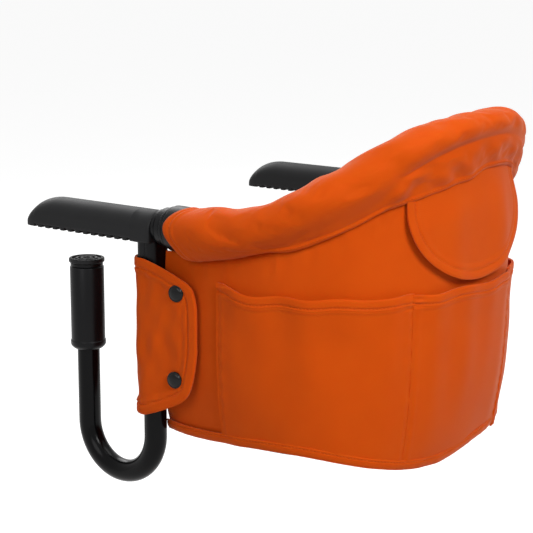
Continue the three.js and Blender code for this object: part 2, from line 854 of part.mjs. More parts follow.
function armBoot() {
  const alongArm = new THREE.Matrix4().makeBasis(X, Z, Y.clone().negate());
  const section = prism(bootSection(), bootLength + overrun, roundSides / 2)
    .applyMatrix4(alongArm).translate(0, bootRear, 0);
  const plan = prism(bootPlan(), bootHeight + overrun + overrun).translate(0, 0, -overrun);
  const body = shared(section, prismX(bootSide(), bootHalfWidth + overrun, noseSteps), plan);
  const bore = rodY(tubeRadius + fitGap, bootRear - armTubeInBoot - fitGap, bootRear + overrun)
    .translate(0, 0, armHeight);
  const sleeveRoom = rodY(hubSleeveRadius + fitGap, neckFront - fitGap, bootRear + overrun)
    .translate(0, 0, armHeight);
  const neckRoom = prism(neckPlan(fitGap), armHeight + overrun, smallSides / 3).translate(0, 0, -overrun);
  const teeth = Math.floor(toothRun / toothPitch);
  const grooves = Array.from({ length: teeth + 1 }, (_, i) =>
    toothGroove(bootRear - firstTooth - i * toothPitch + toothPitch / 2));
  return cut(body, bore, sleeveRoom, neckRoom, ...grooves);
}

function armTube() {
  const front = bootRear - armTubeInBoot;
  const rear = bootRear - armTubeStop;
  return turned([[tubeBore, front], [tubeRadius, front], [tubeRadius, rear], [tubeBore, rear]])
    .translate(0, 0, armHeight);
}

function hubBarrel() {
  const front = bootRear + fitGap;
  return turned([
    [0, front],
    [hubRadius - hubEdge, front],
    [hubRadius, front + hubEdge],
    [hubRadius, front + hubFront],
    [hubLipRadius, front + hubFront + hubEdge + hubEdge],
    [hubLipRadius, hubRear - hubEdge],
    [hubLipRadius - hubEdge, hubRear],
    [0, hubRear],
  ], roundSides + smallSides / 2).translate(0, 0, armHeight);
}

// The neck seen from above, with its corners rounded
function neckPlan(grow) {
  const halfWidth = neckHalfWidth + grow;
  return roundedRectangle(-halfWidth, halfWidth, neckFront - grow, neckRear + grow, neckCorner);
}

function hubHousing() {
  const neck = prism(neckPlan(0), neckDepth + armHeight, smallSides / 3).translate(0, 0, -neckDepth);
  const sleeve = rodY(hubSleeveRadius, neckFront, bootRear + fitGap + hubEdge).translate(0, 0, armHeight);
  const armSocket = rodY(tubeRadius + fitGap, neckFront - overrun, bootRear - armTubeStop + fitGap)
    .translate(0, 0, armHeight);
  const hookSocket = rodZ(tubeRadius + fitGap, -neckDepth - overrun, hookTop + fitGap);
  const pivotHole = rodY(pivotRadius + fitGap, 0, hubRear + overrun, smallSides)
    .translate(0, 0, armHeight);
  const pinEnd = neckHalfWidth + overrun;
  const pinHole = rodX(neckPinRadius + fitGap, -pinEnd, pinEnd, smallSides).translate(0, 0, -neckPinDepth);
  const seams = [1, -1].map((side) => {
    const depth = neckSeamDepth + overrun;
    const x = side * (neckHalfWidth - neckSeamDepth + depth / 2);
    const height = neckDepth - neckSeamEnd;
    return new THREE.BoxGeometry(depth, neckSeam, height + overrun)
      .translate(x, neckSeamPlace, -neckDepth - overrun + (height + overrun) / 2);
  });
  return cut(joined(hubBarrel(), neck, sleeve), armSocket, hookSocket, pivotHole, pinHole, ...seams);
}

class HookPath extends THREE.Curve {
  getPoint(t, target = new THREE.Vector3()) {
    const bendRadius = hookSpacing / 2;
    const bendZ = bendRadius - hookDepth;
    const steps = hookBendSteps + 2;
    const bendStart = 1 / steps;
    const bendEnd = 1 - bendStart;
    if (t <= bendStart) return target.set(0, 0, THREE.MathUtils.lerp(hookTop, bendZ, t / bendStart));
    if (t >= bendEnd) {
      const up = (t - bendEnd) / (1 - bendEnd);
      return target.set(0, -hookSpacing, THREE.MathUtils.lerp(bendZ, -freeLegTop, up));
    }
    const turn = ((t - bendStart) / (bendEnd - bendStart)) * Math.PI;
    const y = bendRadius * Math.cos(turn) - bendRadius;
    return target.set(0, y, bendZ - bendRadius * Math.sin(turn));
  }

  getPointAt(u, target) {
    return this.getPoint(u, target);
  }

  getTangentAt(u, target) {
    return this.getTangent(u, target);
  }
}

function hookTube() {
  const section = new THREE.Shape();
  section.absarc(0, 0, tubeRadius, 0, Math.PI * 2);
  const bore = new THREE.Path();
  bore.absarc(0, 0, tubeBore, 0, Math.PI * 2, true);
  section.holes.push(bore);
  const options = { extrudePath: new HookPath(), steps: hookBendSteps + 2, curveSegments: tubeSides / 2 };
  const reach = tubeRadius + overrun;
  const pinHole = rodX(neckPinRadius + fitGap, -reach, reach, smallSides).translate(0, 0, -neckPinDepth);
  return cut(closed(new THREE.ExtrudeGeometry(section, options)), pinHole);
}

function pivotPin() {
  const front = hubRear - pivotGrip;
  const end = collarRear + collarPlug + fitGap;
  return turned([
    [0, front],
    [pivotRadius, front],
    [pivotRadius, end],
    [pivotHeadRadius, end],
    [pivotHeadRadius, end + pivotHead],
    [0, end + pivotHead],
  ], smallSides).translate(0, 0, armHeight);
}

function tubeInsert() {
  const bore = spindleRadius + fitGap;
  const seat = -freeLegTop + fitGap;
  return uprightly(turned([
    [bore, seat - insertLength],
    [plugRadius, seat - insertLength],
    [plugRadius, seat],
    [tubeRadius, seat],
    [tubeRadius, seat + insertFlange],
    [bore, seat + insertFlange],
  ], tubeSides)).translate(0, -hookSpacing, 0);
}

function buildClamp(clamp, name) {
  piece(clamp, `arm_boot_${name}`, armBoot(), "rubber");
  piece(clamp, `arm_tube_${name}`, armTube(), "paintedSteel");
  piece(clamp, `hub_housing_${name}`, hubHousing(), "nylon");
  piece(clamp, `hook_tube_${name}`, hookTube(), "paintedSteel");
  const pin = rodX(neckPinRadius, -neckHalfWidth + fitGap, neckHalfWidth - fitGap, smallSides);
  piece(clamp, `neck_pin_${name}`, pin.translate(0, 0, -neckPinDepth), "zincSteel");
  piece(clamp, `pivot_pin_${name}`, pivotPin(), "zincSteel");
  piece(clamp, `tube_insert_${name}`, tubeInsert(), "nylon");
  const spindle = rodZ(spindleRadius, -freeLegTop - insertLength + fitGap, -spindleTop, smallSides);
  piece(clamp, `clamp_spindle_${name}`, spindle.translate(0, -hookSpacing, 0), "zincSteel");
}

// Twist grip with its nut, and the pad that presses on the table

function gripSleeve() {
  const shoulder = -gripShoulder;
  return uprightly(turned([
    [gripUpperBore, -gripTop],
    [gripUpperBore, shoulder],
    [gripBore, shoulder],
    [gripBore, -gripBottom],
    [gripEndRadius, -gripBottom],
    [gripRadius + gripLip, -gripBottom + gripTaper],
    [gripRadius + gripLip, -gripBottom + gripTaper + gripLipHeight / 2],
    [gripRadius, -gripBottom + gripTaper + gripLipHeight],
    [gripRadius, -gripTop - gripLip],
    [gripRadius - gripLip, -gripTop],
  ]));
}

function gripNut() {
  const hexagonSides = 6;
  const top = -gripShoulder - fitGap;
  const hexagon = rodZ(nutRadius, top - nutHeight, top, hexagonSides);
  return cut(hexagon, rodZ(spindleRadius + fitGap, top - nutHeight - overrun, top + overrun, smallSides));
}

// The pad's face has a shallow cup crossed by raised rings
function pressurePad() {
  const low = -tableThickness - padHeight;
  const face = -tableThickness;
  const floor = face - padCup;
  const inner = padRadius - padRim;
  const step = inner / (padRings + 1);
  const rings = Array.from({ length: padRings }, (_, i) => {
    const middle = inner - (i + 1) * step;
    return [[middle + padRingWidth, floor], [middle + padRingWidth, face],
      [middle - padRingWidth, face], [middle - padRingWidth, floor]];
  }).flat();
  return uprightly(turned([
    [0, low],
    [padRadius, low],
    [padRadius, face],
    [inner, face],
    [inner, floor],
    ...rings,
    [0, floor],
  ]));
}

function padCarrier() {
  const top = -tableThickness - padHeight - fitGap;
  const plug = gripUpperBore - fitGap;
  return uprightly(turned([
    [carrierBore, top],
    [carrierRadius, top],
    [carrierRadius, top - carrierHeight],
    [plug, top - carrierHeight],
    [plug, top - carrierHeight - carrierSpigot],
    [carrierBore, top - carrierHeight - carrierSpigot],
  ]));
}

function buildGrip(clamp, name) {
  const grip = new THREE.Group();
  grip.position.y = -hookSpacing;
  clamp.add(grip);
  piece(grip, `grip_sleeve_${name}`, gripSleeve(), "nylon");
  piece(grip, `grip_nut_${name}`, gripNut(), "zincSteel");
  piece(grip, `pressure_pad_${name}`, pressurePad(), "rubber");
  piece(grip, `pad_carrier_${name}`, padCarrier(), "nylon");
}

// Harness: crotch strap, two waist straps and a buckle with a push button

function buckleBody() {
  const [halfWidth, halfHeight] = [buckleWidth / 2, buckleHeight / 2];
  const shape = roundedRectangle(-halfWidth, halfWidth, -halfHeight, halfHeight, buckleCorner);
  const upright = new THREE.Matrix4().makeBasis(X, Z, Y.clone().negate());
  const block = prism(shape, buckleDepth, smallSides / 2)
    .applyMatrix4(upright).translate(0, buckleDepth / 2, 0);
  const slots = [1, -1].map((side) => {
    const depth = tongueLength + overrun;
    return new THREE.BoxGeometry(depth, tongueThickness + fitGap + fitGap, tongueHeight + fitGap + fitGap)
      .translate(side * (halfWidth - tongueLength + depth / 2 - fitGap), 0, 0);
  });
  const wellDepth = buckleButtonTravel + buckleButtonStand + fitGap;
  const front = -buckleDepth / 2;
  const well = rodY(buckleButtonRadius + fitGap, front - overrun, front + wellDepth, tubeSides);
  return cut(block, well, ...slots);
}

function buckleButton() {
  const front = -buckleDepth / 2 - buckleButtonStand;
  const edge = buckleButtonStand / 2;
  return turned([
    [0, front],
    [buckleButtonRadius - edge, front],
    [buckleButtonRadius, front + edge],
    [buckleButtonRadius, front + buckleButtonStand + buckleButtonStand],
    [0, front + buckleButtonStand + buckleButtonStand],
  ], tubeSides);
}

// A tongue plate with its blade in the buckle and a bar for the strap
function tongue(side) {
  const inner = buckleWidth / 2 - tongueLength + fitGap;
  const blade = new THREE.BoxGeometry(tongueLength + tongueBar, tongueThickness, tongueHeight)
    .translate(inner + (tongueLength + tongueBar) / 2, 0, 0);
  const plateX = buckleWidth / 2 + fitGap;
  const height = strapWidth + tongueBar + tongueBar;
  const plateShape = roundedRectangle(plateX, plateX + tonguePlate, -height / 2, height / 2, tongueBar);
  const upright = new THREE.Matrix4().makeBasis(X, Z, Y.clone().negate());
  const plate = prism(plateShape, tongueThickness, smallSides / 3)
    .applyMatrix4(upright).translate(0, tongueThickness / 2, 0);
  const slot = new THREE.BoxGeometry(tongueBar, tongueThickness + overrun, strapWidth + fitGap + fitGap)
    .translate(plateX + tonguePlate - tongueBar - tongueBar / 2, 0, 0);
  return mirrored(cut(joined(blade, plate), slot), side);
}

function waistStrap(side) {
  const startX = buckleWidth / 2 + fitGap + tonguePlate + fitGap;
  const curve = new THREE.QuadraticBezierCurve3(
    new THREE.Vector3(startX, buckleY, buckleZ),
    new THREE.Vector3(strapAnchorX - strapSag, buckleY, buckleZ),
    new THREE.Vector3(strapAnchorX, strapAnchorY, strapAnchorZ),
  );
  return mirrored(webbing(curve, Z), side);
}

function crotchStrap() {
  const y = seatFront + clothWall + strapCloth / 2 + fitGap;
  const under = buckleZ - buckleHeight / 2;
  const curve = new THREE.CubicBezierCurve3(
    new THREE.Vector3(0, y, hemFrontZ + baseBoardHeight + cushionHeight),
    new THREE.Vector3(0, y, under),
    new THREE.Vector3(0, y + strapCloth / 2, under - buckleHeight / 2),
    new THREE.Vector3(0, buckleY, under - strapCloth),
  );
  return webbing(curve, X);
}

function buildHarness(seat) {
  const place = (geometry) => geometry.translate(0, buckleY, buckleZ);
  piece(seat, "buckle_body", place(buckleBody()), "nylon");
  piece(seat, "buckle_button", place(buckleButton()), "nylon");
  piece(seat, "crotch_strap", crotchStrap(), "webbing");
  for (const [side, name] of [[1, "left"], [-1, "right"]]) {
    piece(seat, `buckle_tongue_${name}`, place(tongue(side)), "nylon");
    piece(seat, `waist_strap_${name}`, waistStrap(side), "webbing");
  }
}

const group = new THREE.Group();
const seat = new THREE.Group();
group.add(seat);
buildFrame(seat);
buildSeat(seat);
buildHarness(seat);
for (const [side, name] of [[1, "left"], [-1, "right"]]) {
  buildSleeve(seat, side, name);
  const clamp = new THREE.Group();
  clamp.position.x = side * armX;
  group.add(clamp);
  buildClamp(clamp, name);
  buildGrip(clamp, name);
}

export default group;
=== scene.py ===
from math import cos, pi, radians, sin, sqrt

import bmesh
import bpy
import numpy as np
from mathutils import Matrix, Vector


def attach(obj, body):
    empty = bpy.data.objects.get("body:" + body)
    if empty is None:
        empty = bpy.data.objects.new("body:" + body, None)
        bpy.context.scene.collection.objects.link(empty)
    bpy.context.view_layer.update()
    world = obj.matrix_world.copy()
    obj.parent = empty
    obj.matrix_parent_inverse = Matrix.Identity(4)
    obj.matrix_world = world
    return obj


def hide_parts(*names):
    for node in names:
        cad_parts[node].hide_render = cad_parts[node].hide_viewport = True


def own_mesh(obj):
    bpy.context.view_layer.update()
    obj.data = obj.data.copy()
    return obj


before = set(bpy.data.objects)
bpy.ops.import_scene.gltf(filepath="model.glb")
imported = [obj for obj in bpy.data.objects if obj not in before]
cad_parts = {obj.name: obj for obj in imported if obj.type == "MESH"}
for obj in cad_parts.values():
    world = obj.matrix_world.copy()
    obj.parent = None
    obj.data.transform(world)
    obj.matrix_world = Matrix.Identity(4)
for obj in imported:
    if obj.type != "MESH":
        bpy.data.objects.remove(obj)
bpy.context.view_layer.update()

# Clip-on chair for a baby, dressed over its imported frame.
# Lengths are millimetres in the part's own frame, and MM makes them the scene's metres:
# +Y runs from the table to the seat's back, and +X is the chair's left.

MM = 0.001
FULL = 2 * pi
SIDES = {"left": 1, "right": -1}

# Where the clamps stand
ARM_X = 173
ARM_Z = 15
TUBE = 11
HOOK_SPACING = 90
HOOK_TOP = -1.5
HOOK_LOW = -247.4
FREE_LEG_TOP = -108
TABLE = 27

# Rubber boot
BOOT_REAR = 10.6
BOOT_LENGTH = 170.2
BOOT_HALF = 18
BOOT_HEIGHT = 30
BOOT_CORNER = 1.8
NOSE = 41.5
NOSE_TIP = 0.8
NOSE_POWER = 7
NOSE_RISE = 2.2
TOOTH_PITCH = 10.58
TOOTH_DEPTH = 2.5
TOOTH_GAP = 4.2
TOOTH_FLANK = 0.7
TEETH = 12
FIRST_GROOVE = -15.8

# Hub housing, its neck and the collar behind it
HUB_LIP = 18.4
HUB_BARREL = 16.2
HUB_FRONT = 10.9
HUB_REAR = 24
NECK_HALF = 13.2
NECK_FRONT = -12.4
NECK_REAR = 11
NECK_CORNER = 8
NECK_LOW = -58
NECK_SEAM_Y = 1.5
COLLAR = 21.6
COLLAR_LIP = 20.2
COLLAR_FRONT = 24.6
COLLAR_REAR = 37.4
COLLAR_SLEEVE = 50

# Seat: rim tube with its padded roll, and the fabric wall down to the base
STRAIGHT_SHARE = 0.2
RIM_FRONT = 15.8
RIM_BEND = 55
RIM_DEPTH = 245
RIM_POWER = 2.35
RIM_LEVEL = 41.2
RIM_RISE = 91
RISE_SHARE = 0.75
ROLL_FRONT = 24
ROLL_BACK = 21
ROLL_SEAM = 0.6
HOOD_START = 32.5
HOOD_REACH = 20
HOOD_TURN = radians(13)
SEAT_FRONT = 15.5
HEM_HALF = 163
HEM_BEND = 66
HEM_DEPTH = 229
HEM_POWER = 2.8
BOARD_FRONT_Z = -184
BOARD_REAR_Z = -193
WALL_BULGE = 3
WALL_SPRING = 5
WALL_CLOTH = 2.6
CORNER_FORWARD = 10
COVER_CLOTH = 2.2
POCKET_LIFT = 3
POCKET_HEM_Z = -36
POCKET_BAND = 16
HEM_FOLD = 10
STITCH_IN = 1.6
FLAP_HALF_SHARE = 0.134
FLAP_LOW_Z = -31
FLAP_ROUND = 70
FLAP_LIFT = 5.6
BINDING_HEIGHT = 6.5

# By share round the seat: the hem's height, and how far the cover's lip lies below the wall's top
HEM_LEVELS = ((0, -183), (0.06, -183.8), (0.1, -182.5), (0.13, -182.3), (0.16, -181.2), (0.2, -181),
              (0.22, -181.8), (0.25, -184), (0.28, -187.8), (0.31, -192.3), (0.34, -196.5),
              (0.37, -200.5), (0.4, -203.2), (0.43, -204.8), (0.46, -205.5), (0.49, -203.8),
              (0.52, -200.8), (0.55, -197.8), (0.58, -195.6), (0.62, -193.5), (0.66, -191),
              (0.72, -187), (0.78, -183), (0.85, -181.5), (1, -183))
LIP_DROPS = ((0.12, 0), (0.17, 4), (0.224, 10.2), (0.26, 11.5), (0.3, 13.5), (0.335, 13), (0.354, 16.6),
             (0.384, 20), (0.422, 22.4), (0.489, 21), (0.502, 16), (0.52, 14), (0.56, 10.7), (0.62, 5),
             (0.7, 6), (0.776, 10), (0.83, 4), (0.88, 0))

# Valley between roll and skirt: where round the roll it lies, in degrees, and how deep
VALLEY_TURNS = ((0.18, -30), (0.31, -32), (0.36, -42), (0.42, -40), (0.46, -35), (0.5, -25), (0.54, -15),
                (0.58, -8), (0.68, -5), (0.75, -30), (0.82, -30))
VALLEY_DEPTHS = ((0.3, 0), (0.34, 2.5), (0.38, 5.5), (0.42, 7), (0.46, 7.8), (0.5, 8), (0.56, 8.2),
                 (0.66, 8), (0.72, 4), (0.78, 0))
END_VALLEY = radians(-30)
SKIRT_SHARE = 0.4

# How far the roll stands over its round on top, below and outside
TOP_SWELLS = ((0, -1), (0.06, -2.5), (0.1, -2), (0.14, -4), (0.18, -6.5), (0.22, -5.7), (0.26, -2.5),
              (0.3, -1.2), (0.34, -1), (0.42, -3), (0.46, -3.2), (0.5, -2.4), (0.54, -2), (0.58, 0.5),
              (0.62, 3.5), (0.68, 2.5), (0.74, -2), (0.82, -5), (0.88, -3), (1, -1))
LOW_SWELLS = ((0, 2), (0.04, 4), (0.09, 5), (0.14, 3.5), (0.18, 1.5), (0.22, 0), (0.8, 0), (0.9, 4.5),
              (0.96, 4), (1, 2))
OUT_SWELLS = ((0.3, 0), (0.5, 1), (0.6, 2.5), (0.66, 2), (0.72, 0))

# Sleeve round the hook's rear leg, with the snaps' places along it and their heights
SLEEVE_HALF = 15
SLEEVE_CORNER = 13.8
SLEEVE_TAIL = 61.5
TAIL_START = 11
TAIL_HALF = 7.2
TAIL_POINTS = 13
SLEEVE_TOP = -14.5
SLEEVE_LOW = -167.5
SLEEVE_CLOTH = 2
SLEEVE_HEM = 11.5
SNAP = 8
SNAPS = {"upper": (40, -44), "lower": (37.3, -127.5)}

# Cushion and harness
CUSHION_FRONT = 27.5
CUSHION_MIDDLE = (SEAT_FRONT + HEM_DEPTH) / 2
CUSHION_INSET = 7.5
CUSHION_HEIGHT = 19
CUSHION_LIFT = 5.6
CUSHION_ROUND = 22
STRAP_WIDTH = 25
STRAP_CLOTH = 1.8
BUCKLE_Y = 84
BUCKLE_Z = -112
BUCKLE_HALF = 22
BUCKLE_HALF_HEIGHT = 18
TONGUE_PLATE = 21

# Sewing thread
STITCH_PITCH = 3.4
STITCH_LENGTH = 2.5
STITCH_WIDTH = 0.75


def lerp(low, high, share):
    return low + (high - low) * share


def smooth(share):
    """An eased step from 0 to 1."""
    share = np.clip(share, 0, 1)
    return share * share * (3 - 2 * share)


def bell(distance, width):
    return np.exp(-((distance / width) ** 2))


def points(*parts):
    """An array of points from the arrays or values of each of their parts."""
    return np.stack(np.broadcast_arrays(*parts), axis=-1).astype(float)


def unit(vectors):
    return vectors / np.linalg.norm(vectors, axis=-1, keepdims=True)


def turned_from(turn, start):
    """Signed angle from the start to this turn."""
    return (turn - start + pi) % FULL - pi


def distances(line):
    """How far along a line each of its points lies."""
    return np.concatenate([[0], np.cumsum(np.linalg.norm(np.diff(line, axis=0), axis=1))])


def eased(table, along):
    """Value of a table of (share, value) pairs, its corners softened."""
    shares, values = zip(*table)
    reach = 0.012
    steps = (-reach, -reach / 2, 0, reach / 2, reach)
    return sum(np.interp(along + step, shares, values) for step in steps) / len(steps)


# Forms of the seat

class Outline:
    """The seat seen from above, from its left front corner round the back, by share of its length."""

    def __init__(self, half_width, front, bend, depth, power):
        steps = np.linspace(0, 1, 4001)
        from_front = np.minimum(steps, 1 - steps)
        side = np.where(steps < 0.5, 1, -1)
        turn = np.clip((from_front - STRAIGHT_SHARE) / (0.5 - STRAIGHT_SHARE), 0, 1) * pi / 2
        straight = lerp(front, bend, from_front / STRAIGHT_SHARE)
        curved = bend + (depth - bend) * np.sin(turn) ** (2 / power)
        self.x = side * half_width * np.abs(np.cos(turn)) ** (2 / power)
        self.y = np.where(from_front < STRAIGHT_SHARE, straight, curved)
        lengths = np.cumsum(np.hypot(np.diff(self.x), np.diff(self.y)))
        self.length = lengths[-1]
        self.share = np.concatenate([[0], lengths / self.length])

    def at(self, along):
        return np.interp(along, self.share, self.x), np.interp(along, self.share, self.y)

    def tangent(self, along):
        reach = 0.002
        x0, y0 = self.at(np.clip(along - reach, 0, 1))
        x1, y1 = self.at(np.clip(along + reach, 0, 1))
        return unit(points(x1 - x0, y1 - y0))

    def share_at(self, y):
        """Share of the left side at which the outline reaches this depth."""
        half = len(self.y) // 2
        return np.interp(y, self.y[:half], self.share[:half])


RIM = Outline(ARM_X, RIM_FRONT, RIM_BEND, RIM_DEPTH, RIM_POWER)
HEM = Outline(HEM_HALF, SEAT_FRONT, HEM_BEND, HEM_DEPTH, HEM_POWER)


def rim_height(y):
    """Height of the rim tube, level at first and rising to the back."""
    back = np.maximum(0, (y - RIM_LEVEL) / (RIM_DEPTH - RIM_LEVEL))
    return ARM_Z + RIM_RISE * (RISE_SHARE * back**2 + (1 - RISE_SHARE) * back**3)


def backness(along):
    """0 at the front of the rim and 1 at its back."""
    return np.clip((RIM.at(along)[1] - RIM_FRONT) / (RIM_DEPTH - RIM_FRONT), 0, 1)


def roll_radius(along):
    return lerp(ROLL_FRONT, ROLL_BACK, backness(along))


def roll_swell(along, turn):
    """How far the stuffed roll stands over its round, or under it where this is negative."""
    def near(degrees, width):
        return bell(turned_from(turn, radians(degrees)), width)
    top = eased(TOP_SWELLS, along) * near(95, 1.0)
    return top + eased(LOW_SWELLS, along) * near(-75, 0.75) + eased(OUT_SWELLS, along) * near(25, 0.8)


def rim_frame(along):
    """Centre of the rim tube, with its outward, upward and onward directions."""
    def centre(share):
        x, y = RIM.at(np.clip(share, 0, 1))
        return points(x, y, rim_height(y))
    reach = 0.002
    ahead = unit(centre(along + reach) - centre(along - reach))
    side = unit(np.cross(ahead, (0, 0, 1)))
    return centre(along), side, np.cross(side, ahead), ahead


def roll_point(along, turn, radius):
    """A point round the rim tube, turned upward from its outer side."""
    centre, side, up, _ = rim_frame(along)
    turn, radius = np.asarray(turn)[..., None], np.asarray(radius)[..., None]
    return centre + radius * (np.cos(turn) * side + np.sin(turn) * up)


def wall_top(along):
    """Height of the wall's top, under the roll."""
    centre, _, _, ahead = rim_frame(along)
    return centre[..., 2] - roll_radius(along) / np.sqrt(1 - ahead[..., 2] ** 2) - ROLL_SEAM


def wall_low(along):
    """Height of the hem, which sags along the sides and droops across the back."""
    return eased(HEM_LEVELS, along)


def wall(along, z, lift):
    """A point of the seat's wall at this height, and this far outside its face."""
    low_x, low_y = HEM.at(along)
    high_x, high_y = RIM.at(along)
    rise = (z - wall_low(along)) / (wall_top(along) - wall_low(along))
    spread = 1 - np.maximum(0, 1 - rise) ** WALL_SPRING
    tangent = unit(lerp(HEM.tangent(along), RIM.tangent(along), spread[..., None]))
    # The back is fuller on the right
    most, start, end, ease = 4.5, 0.5, 0.76, 0.08
    middle, reach = 10, 42
    full = most * smooth((along - start) / ease) * smooth((end - along) / ease) * bell(z - middle, reach)
    out = WALL_BULGE * np.sin(pi * np.clip(rise, 0, 1)) + full + lift
    x = lerp(low_x, high_x, spread) + tangent[..., 1] * out
    y = lerp(low_y, high_y, spread) - tangent[..., 0] * out
    # Below the sleeve the front corner reaches past the hook's leg
    inward, run, top, drop = 5.5, 24, -152, 22
    from_front = np.minimum(along, 1 - along) * RIM.length
    corner = smooth((run - from_front) / run) * smooth((top - z) / drop)
    return points(x - np.sign(x) * inward * corner**2, y - CORNER_FORWARD * corner, z)


def board_height(y):
    """Height of the base board, which falls towards the back."""
    return lerp(BOARD_FRONT_Z, BOARD_REAR_Z, (y - SEAT_FRONT) / (HEM_DEPTH - SEAT_FRONT))


def lip_height(along):
    """Height of the cover's lip, close under the roll in front and lower at the back."""
    return wall_top(along) - eased(LIP_DROPS, along)


def ripple(along, seed, wave):
    """Soft irregular waves along a seam, about this many millimetres long."""
    draw = np.random.default_rng(seed)
    total, count = 0, 5
    for _ in range(count):
        cycles = RIM.length / (wave * draw.uniform(0.7, 1.5))
        total = total + np.sin(FULL * (along * cycles + draw.uniform()))
    return total / sqrt(count)


def creases(u, v, seed, wave):
    """Soft irregular folds over a surface, by its two lengths in millimetres."""
    draw = np.random.default_rng(seed)
    total, count = 0, 6
    for _ in range(count):
        lean = draw.uniform(-0.9, 0.9)
        length = wave * draw.uniform(0.7, 1.6)
        total = total + np.sin(FULL * ((u * cos(lean) + v * sin(lean)) / length + draw.uniform()))
    return total / sqrt(count)


# Making meshes

def add_surface(shape, columns, rows, place, closed=False):
    """Lays a grid over the points that place gives for its shares across and up.

    Its UV map is the cloth as cut, in metres. A closed one is sewn into a tube and capped.
    Returns the cut's width, length and area in metres."""
    grid = bmesh.ops.create_grid(shape, x_segments=columns, y_segments=rows, size=0.5)["verts"]
    shares = np.array([vert.co[:2] for vert in grid]) + 0.5
    places = place(shares[:, 0], shares[:, 1])
    columns, rows = (len(np.unique(shares[:, i].round(6))) - 1 for i in (0, 1))
    index = np.rint(shares * (columns, rows)).astype(int)
    table = np.zeros((columns + 1, rows + 1, 3))
    table[index[:, 0], index[:, 1]] = places
    across = np.linalg.norm(np.diff(table, axis=0), axis=2)
    upward = np.linalg.norm(np.diff(table, axis=1), axis=2)
    cut_across = np.concatenate([[0], np.cumsum(across[:, rows // 2])])
    cut_up = np.concatenate([np.zeros((columns + 1, 1)), np.cumsum(upward, axis=1)], axis=1)
    sheet = shape.loops.layers.uv.get("cut") or shape.loops.layers.uv.new("cut")
    flat = {}
    for vert, point, (i, j) in zip(grid, places, index):
        vert.co = Vector(point) * MM
        flat[vert] = (cut_across[i] * MM, cut_up[i, j] * MM)
    for face in {face for vert in grid for face in vert.link_faces}:
        for loop in face.loops:
            loop[sheet].uv = flat[loop.vert]
    if closed:
        bmesh.ops.remove_doubles(shape, verts=grid, dist=0.01 * MM)
        grid = [vert for vert in grid if vert.is_valid]
        edges = list({edge for vert in grid for edge in vert.link_edges if edge.is_boundary})
        bmesh.ops.holes_fill(shape, edges=edges, sides=0)
        faces = list({face for vert in grid for face in vert.link_faces})
        bmesh.ops.recalc_face_normals(shape, faces=faces)
    beside, above = table[1:, :-1] - table[:-1, :-1], table[:-1, 1:] - table[:-1, :-1]
    area = np.linalg.norm(np.cross(beside, above), axis=2).sum()
    return across.sum(axis=0).max() * MM, cut_up.max() * MM, area * MM * MM


def add_spun(shape, outline, place, steps):
    """Spins an outline of (radius, height) round a line, closes it and puts it in place."""
    verts = [shape.verts.new((radius * MM, 0, height * MM)) for radius, height in outline]
    edges = [shape.edges.new(pair) for pair in zip(verts, verts[1:])]
    before = set(shape.verts)
    bmesh.ops.spin(shape, geom=verts + edges, cent=(0, 0, 0), axis=(0, 0, 1), angle=FULL, steps=steps,
                   use_merge=True, use_duplicate=False)
    ring = verts + [vert for vert in shape.verts if vert not in before]
    bmesh.ops.remove_doubles(shape, verts=ring, dist=0.01 * MM)
    ring = [vert for vert in ring if vert.is_valid]
    bmesh.ops.recalc_face_normals(shape, faces=list({face for vert in ring for face in vert.link_faces}))
    bmesh.ops.transform(shape, matrix=place, verts=ring)


def placed(name, data):
    """A new object in the scene."""
    item = bpy.data.objects.new(name, data)
    bpy.context.scene.collection.objects.link(item)
    return item


def finished(name, shape, material, body="seat", side=1):
    """Makes the shape a smooth piece that rides on a body. Side -1 mirrors it to the right."""
    if side < 0:
        bmesh.ops.scale(shape, vec=(-1, 1, 1), verts=shape.verts)
        bmesh.ops.reverse_faces(shape, faces=shape.faces)
    mesh = bpy.data.meshes.new(name)
    shape.to_mesh(mesh)
    shape.free()
    mesh.shade_smooth()
    mesh.materials.append(material)
    piece = placed(name, mesh)
    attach(piece, body)
    return piece


def bevelled(piece, width, angle):
    """Rounds the edges that bend by more than this angle in degrees."""
    edge = piece.modifiers.new("edge", "BEVEL")
    edge.width = width * MM
    edge.segments = 3
    edge.profile = 0.5
    edge.limit_method = "ANGLE"
    edge.angle_limit = radians(angle)


def rounded(piece, width, angle=35):
    """Rounds the edges of a rigid piece, and keeps them sharp to the shading."""
    piece.data.set_sharp_from_angle(angle=radians(angle))
    bevelled(piece, width, angle)
    return piece


def spun(name, outline, place, material, edge, body="seat", side=1, steps=80):
    """A rigid piece spun from its outline. The edge is its rounding's width and least angle."""
    shape = bmesh.new()
    add_spun(shape, outline, place, steps)
    return rounded(finished(name, shape, material, body, side), *edge)


def thickened(piece, thickness):
    """Gives cloth its thickness, inwards from its outer face, with soft cut edges."""
    layer = piece.modifiers.new("cloth", "SOLIDIFY")
    layer.thickness = thickness * MM
    layer.offset = -1
    bevelled(piece, thickness * 0.4, 55)
    return piece


def cloth(name, columns, rows, place, material, side=1, thickness=COVER_CLOTH):
    """A thin cloth piece."""
    shape = bmesh.new()
    cut = add_surface(shape, columns, rows, place)
    piece = thickened(finished(name, shape, material, side=side), thickness)
    return piece


def read_points(mesh):
    flat = np.empty(len(mesh.vertices) * 3)
    mesh.vertices.foreach_get("co", flat)
    return flat.reshape(-1, 3)


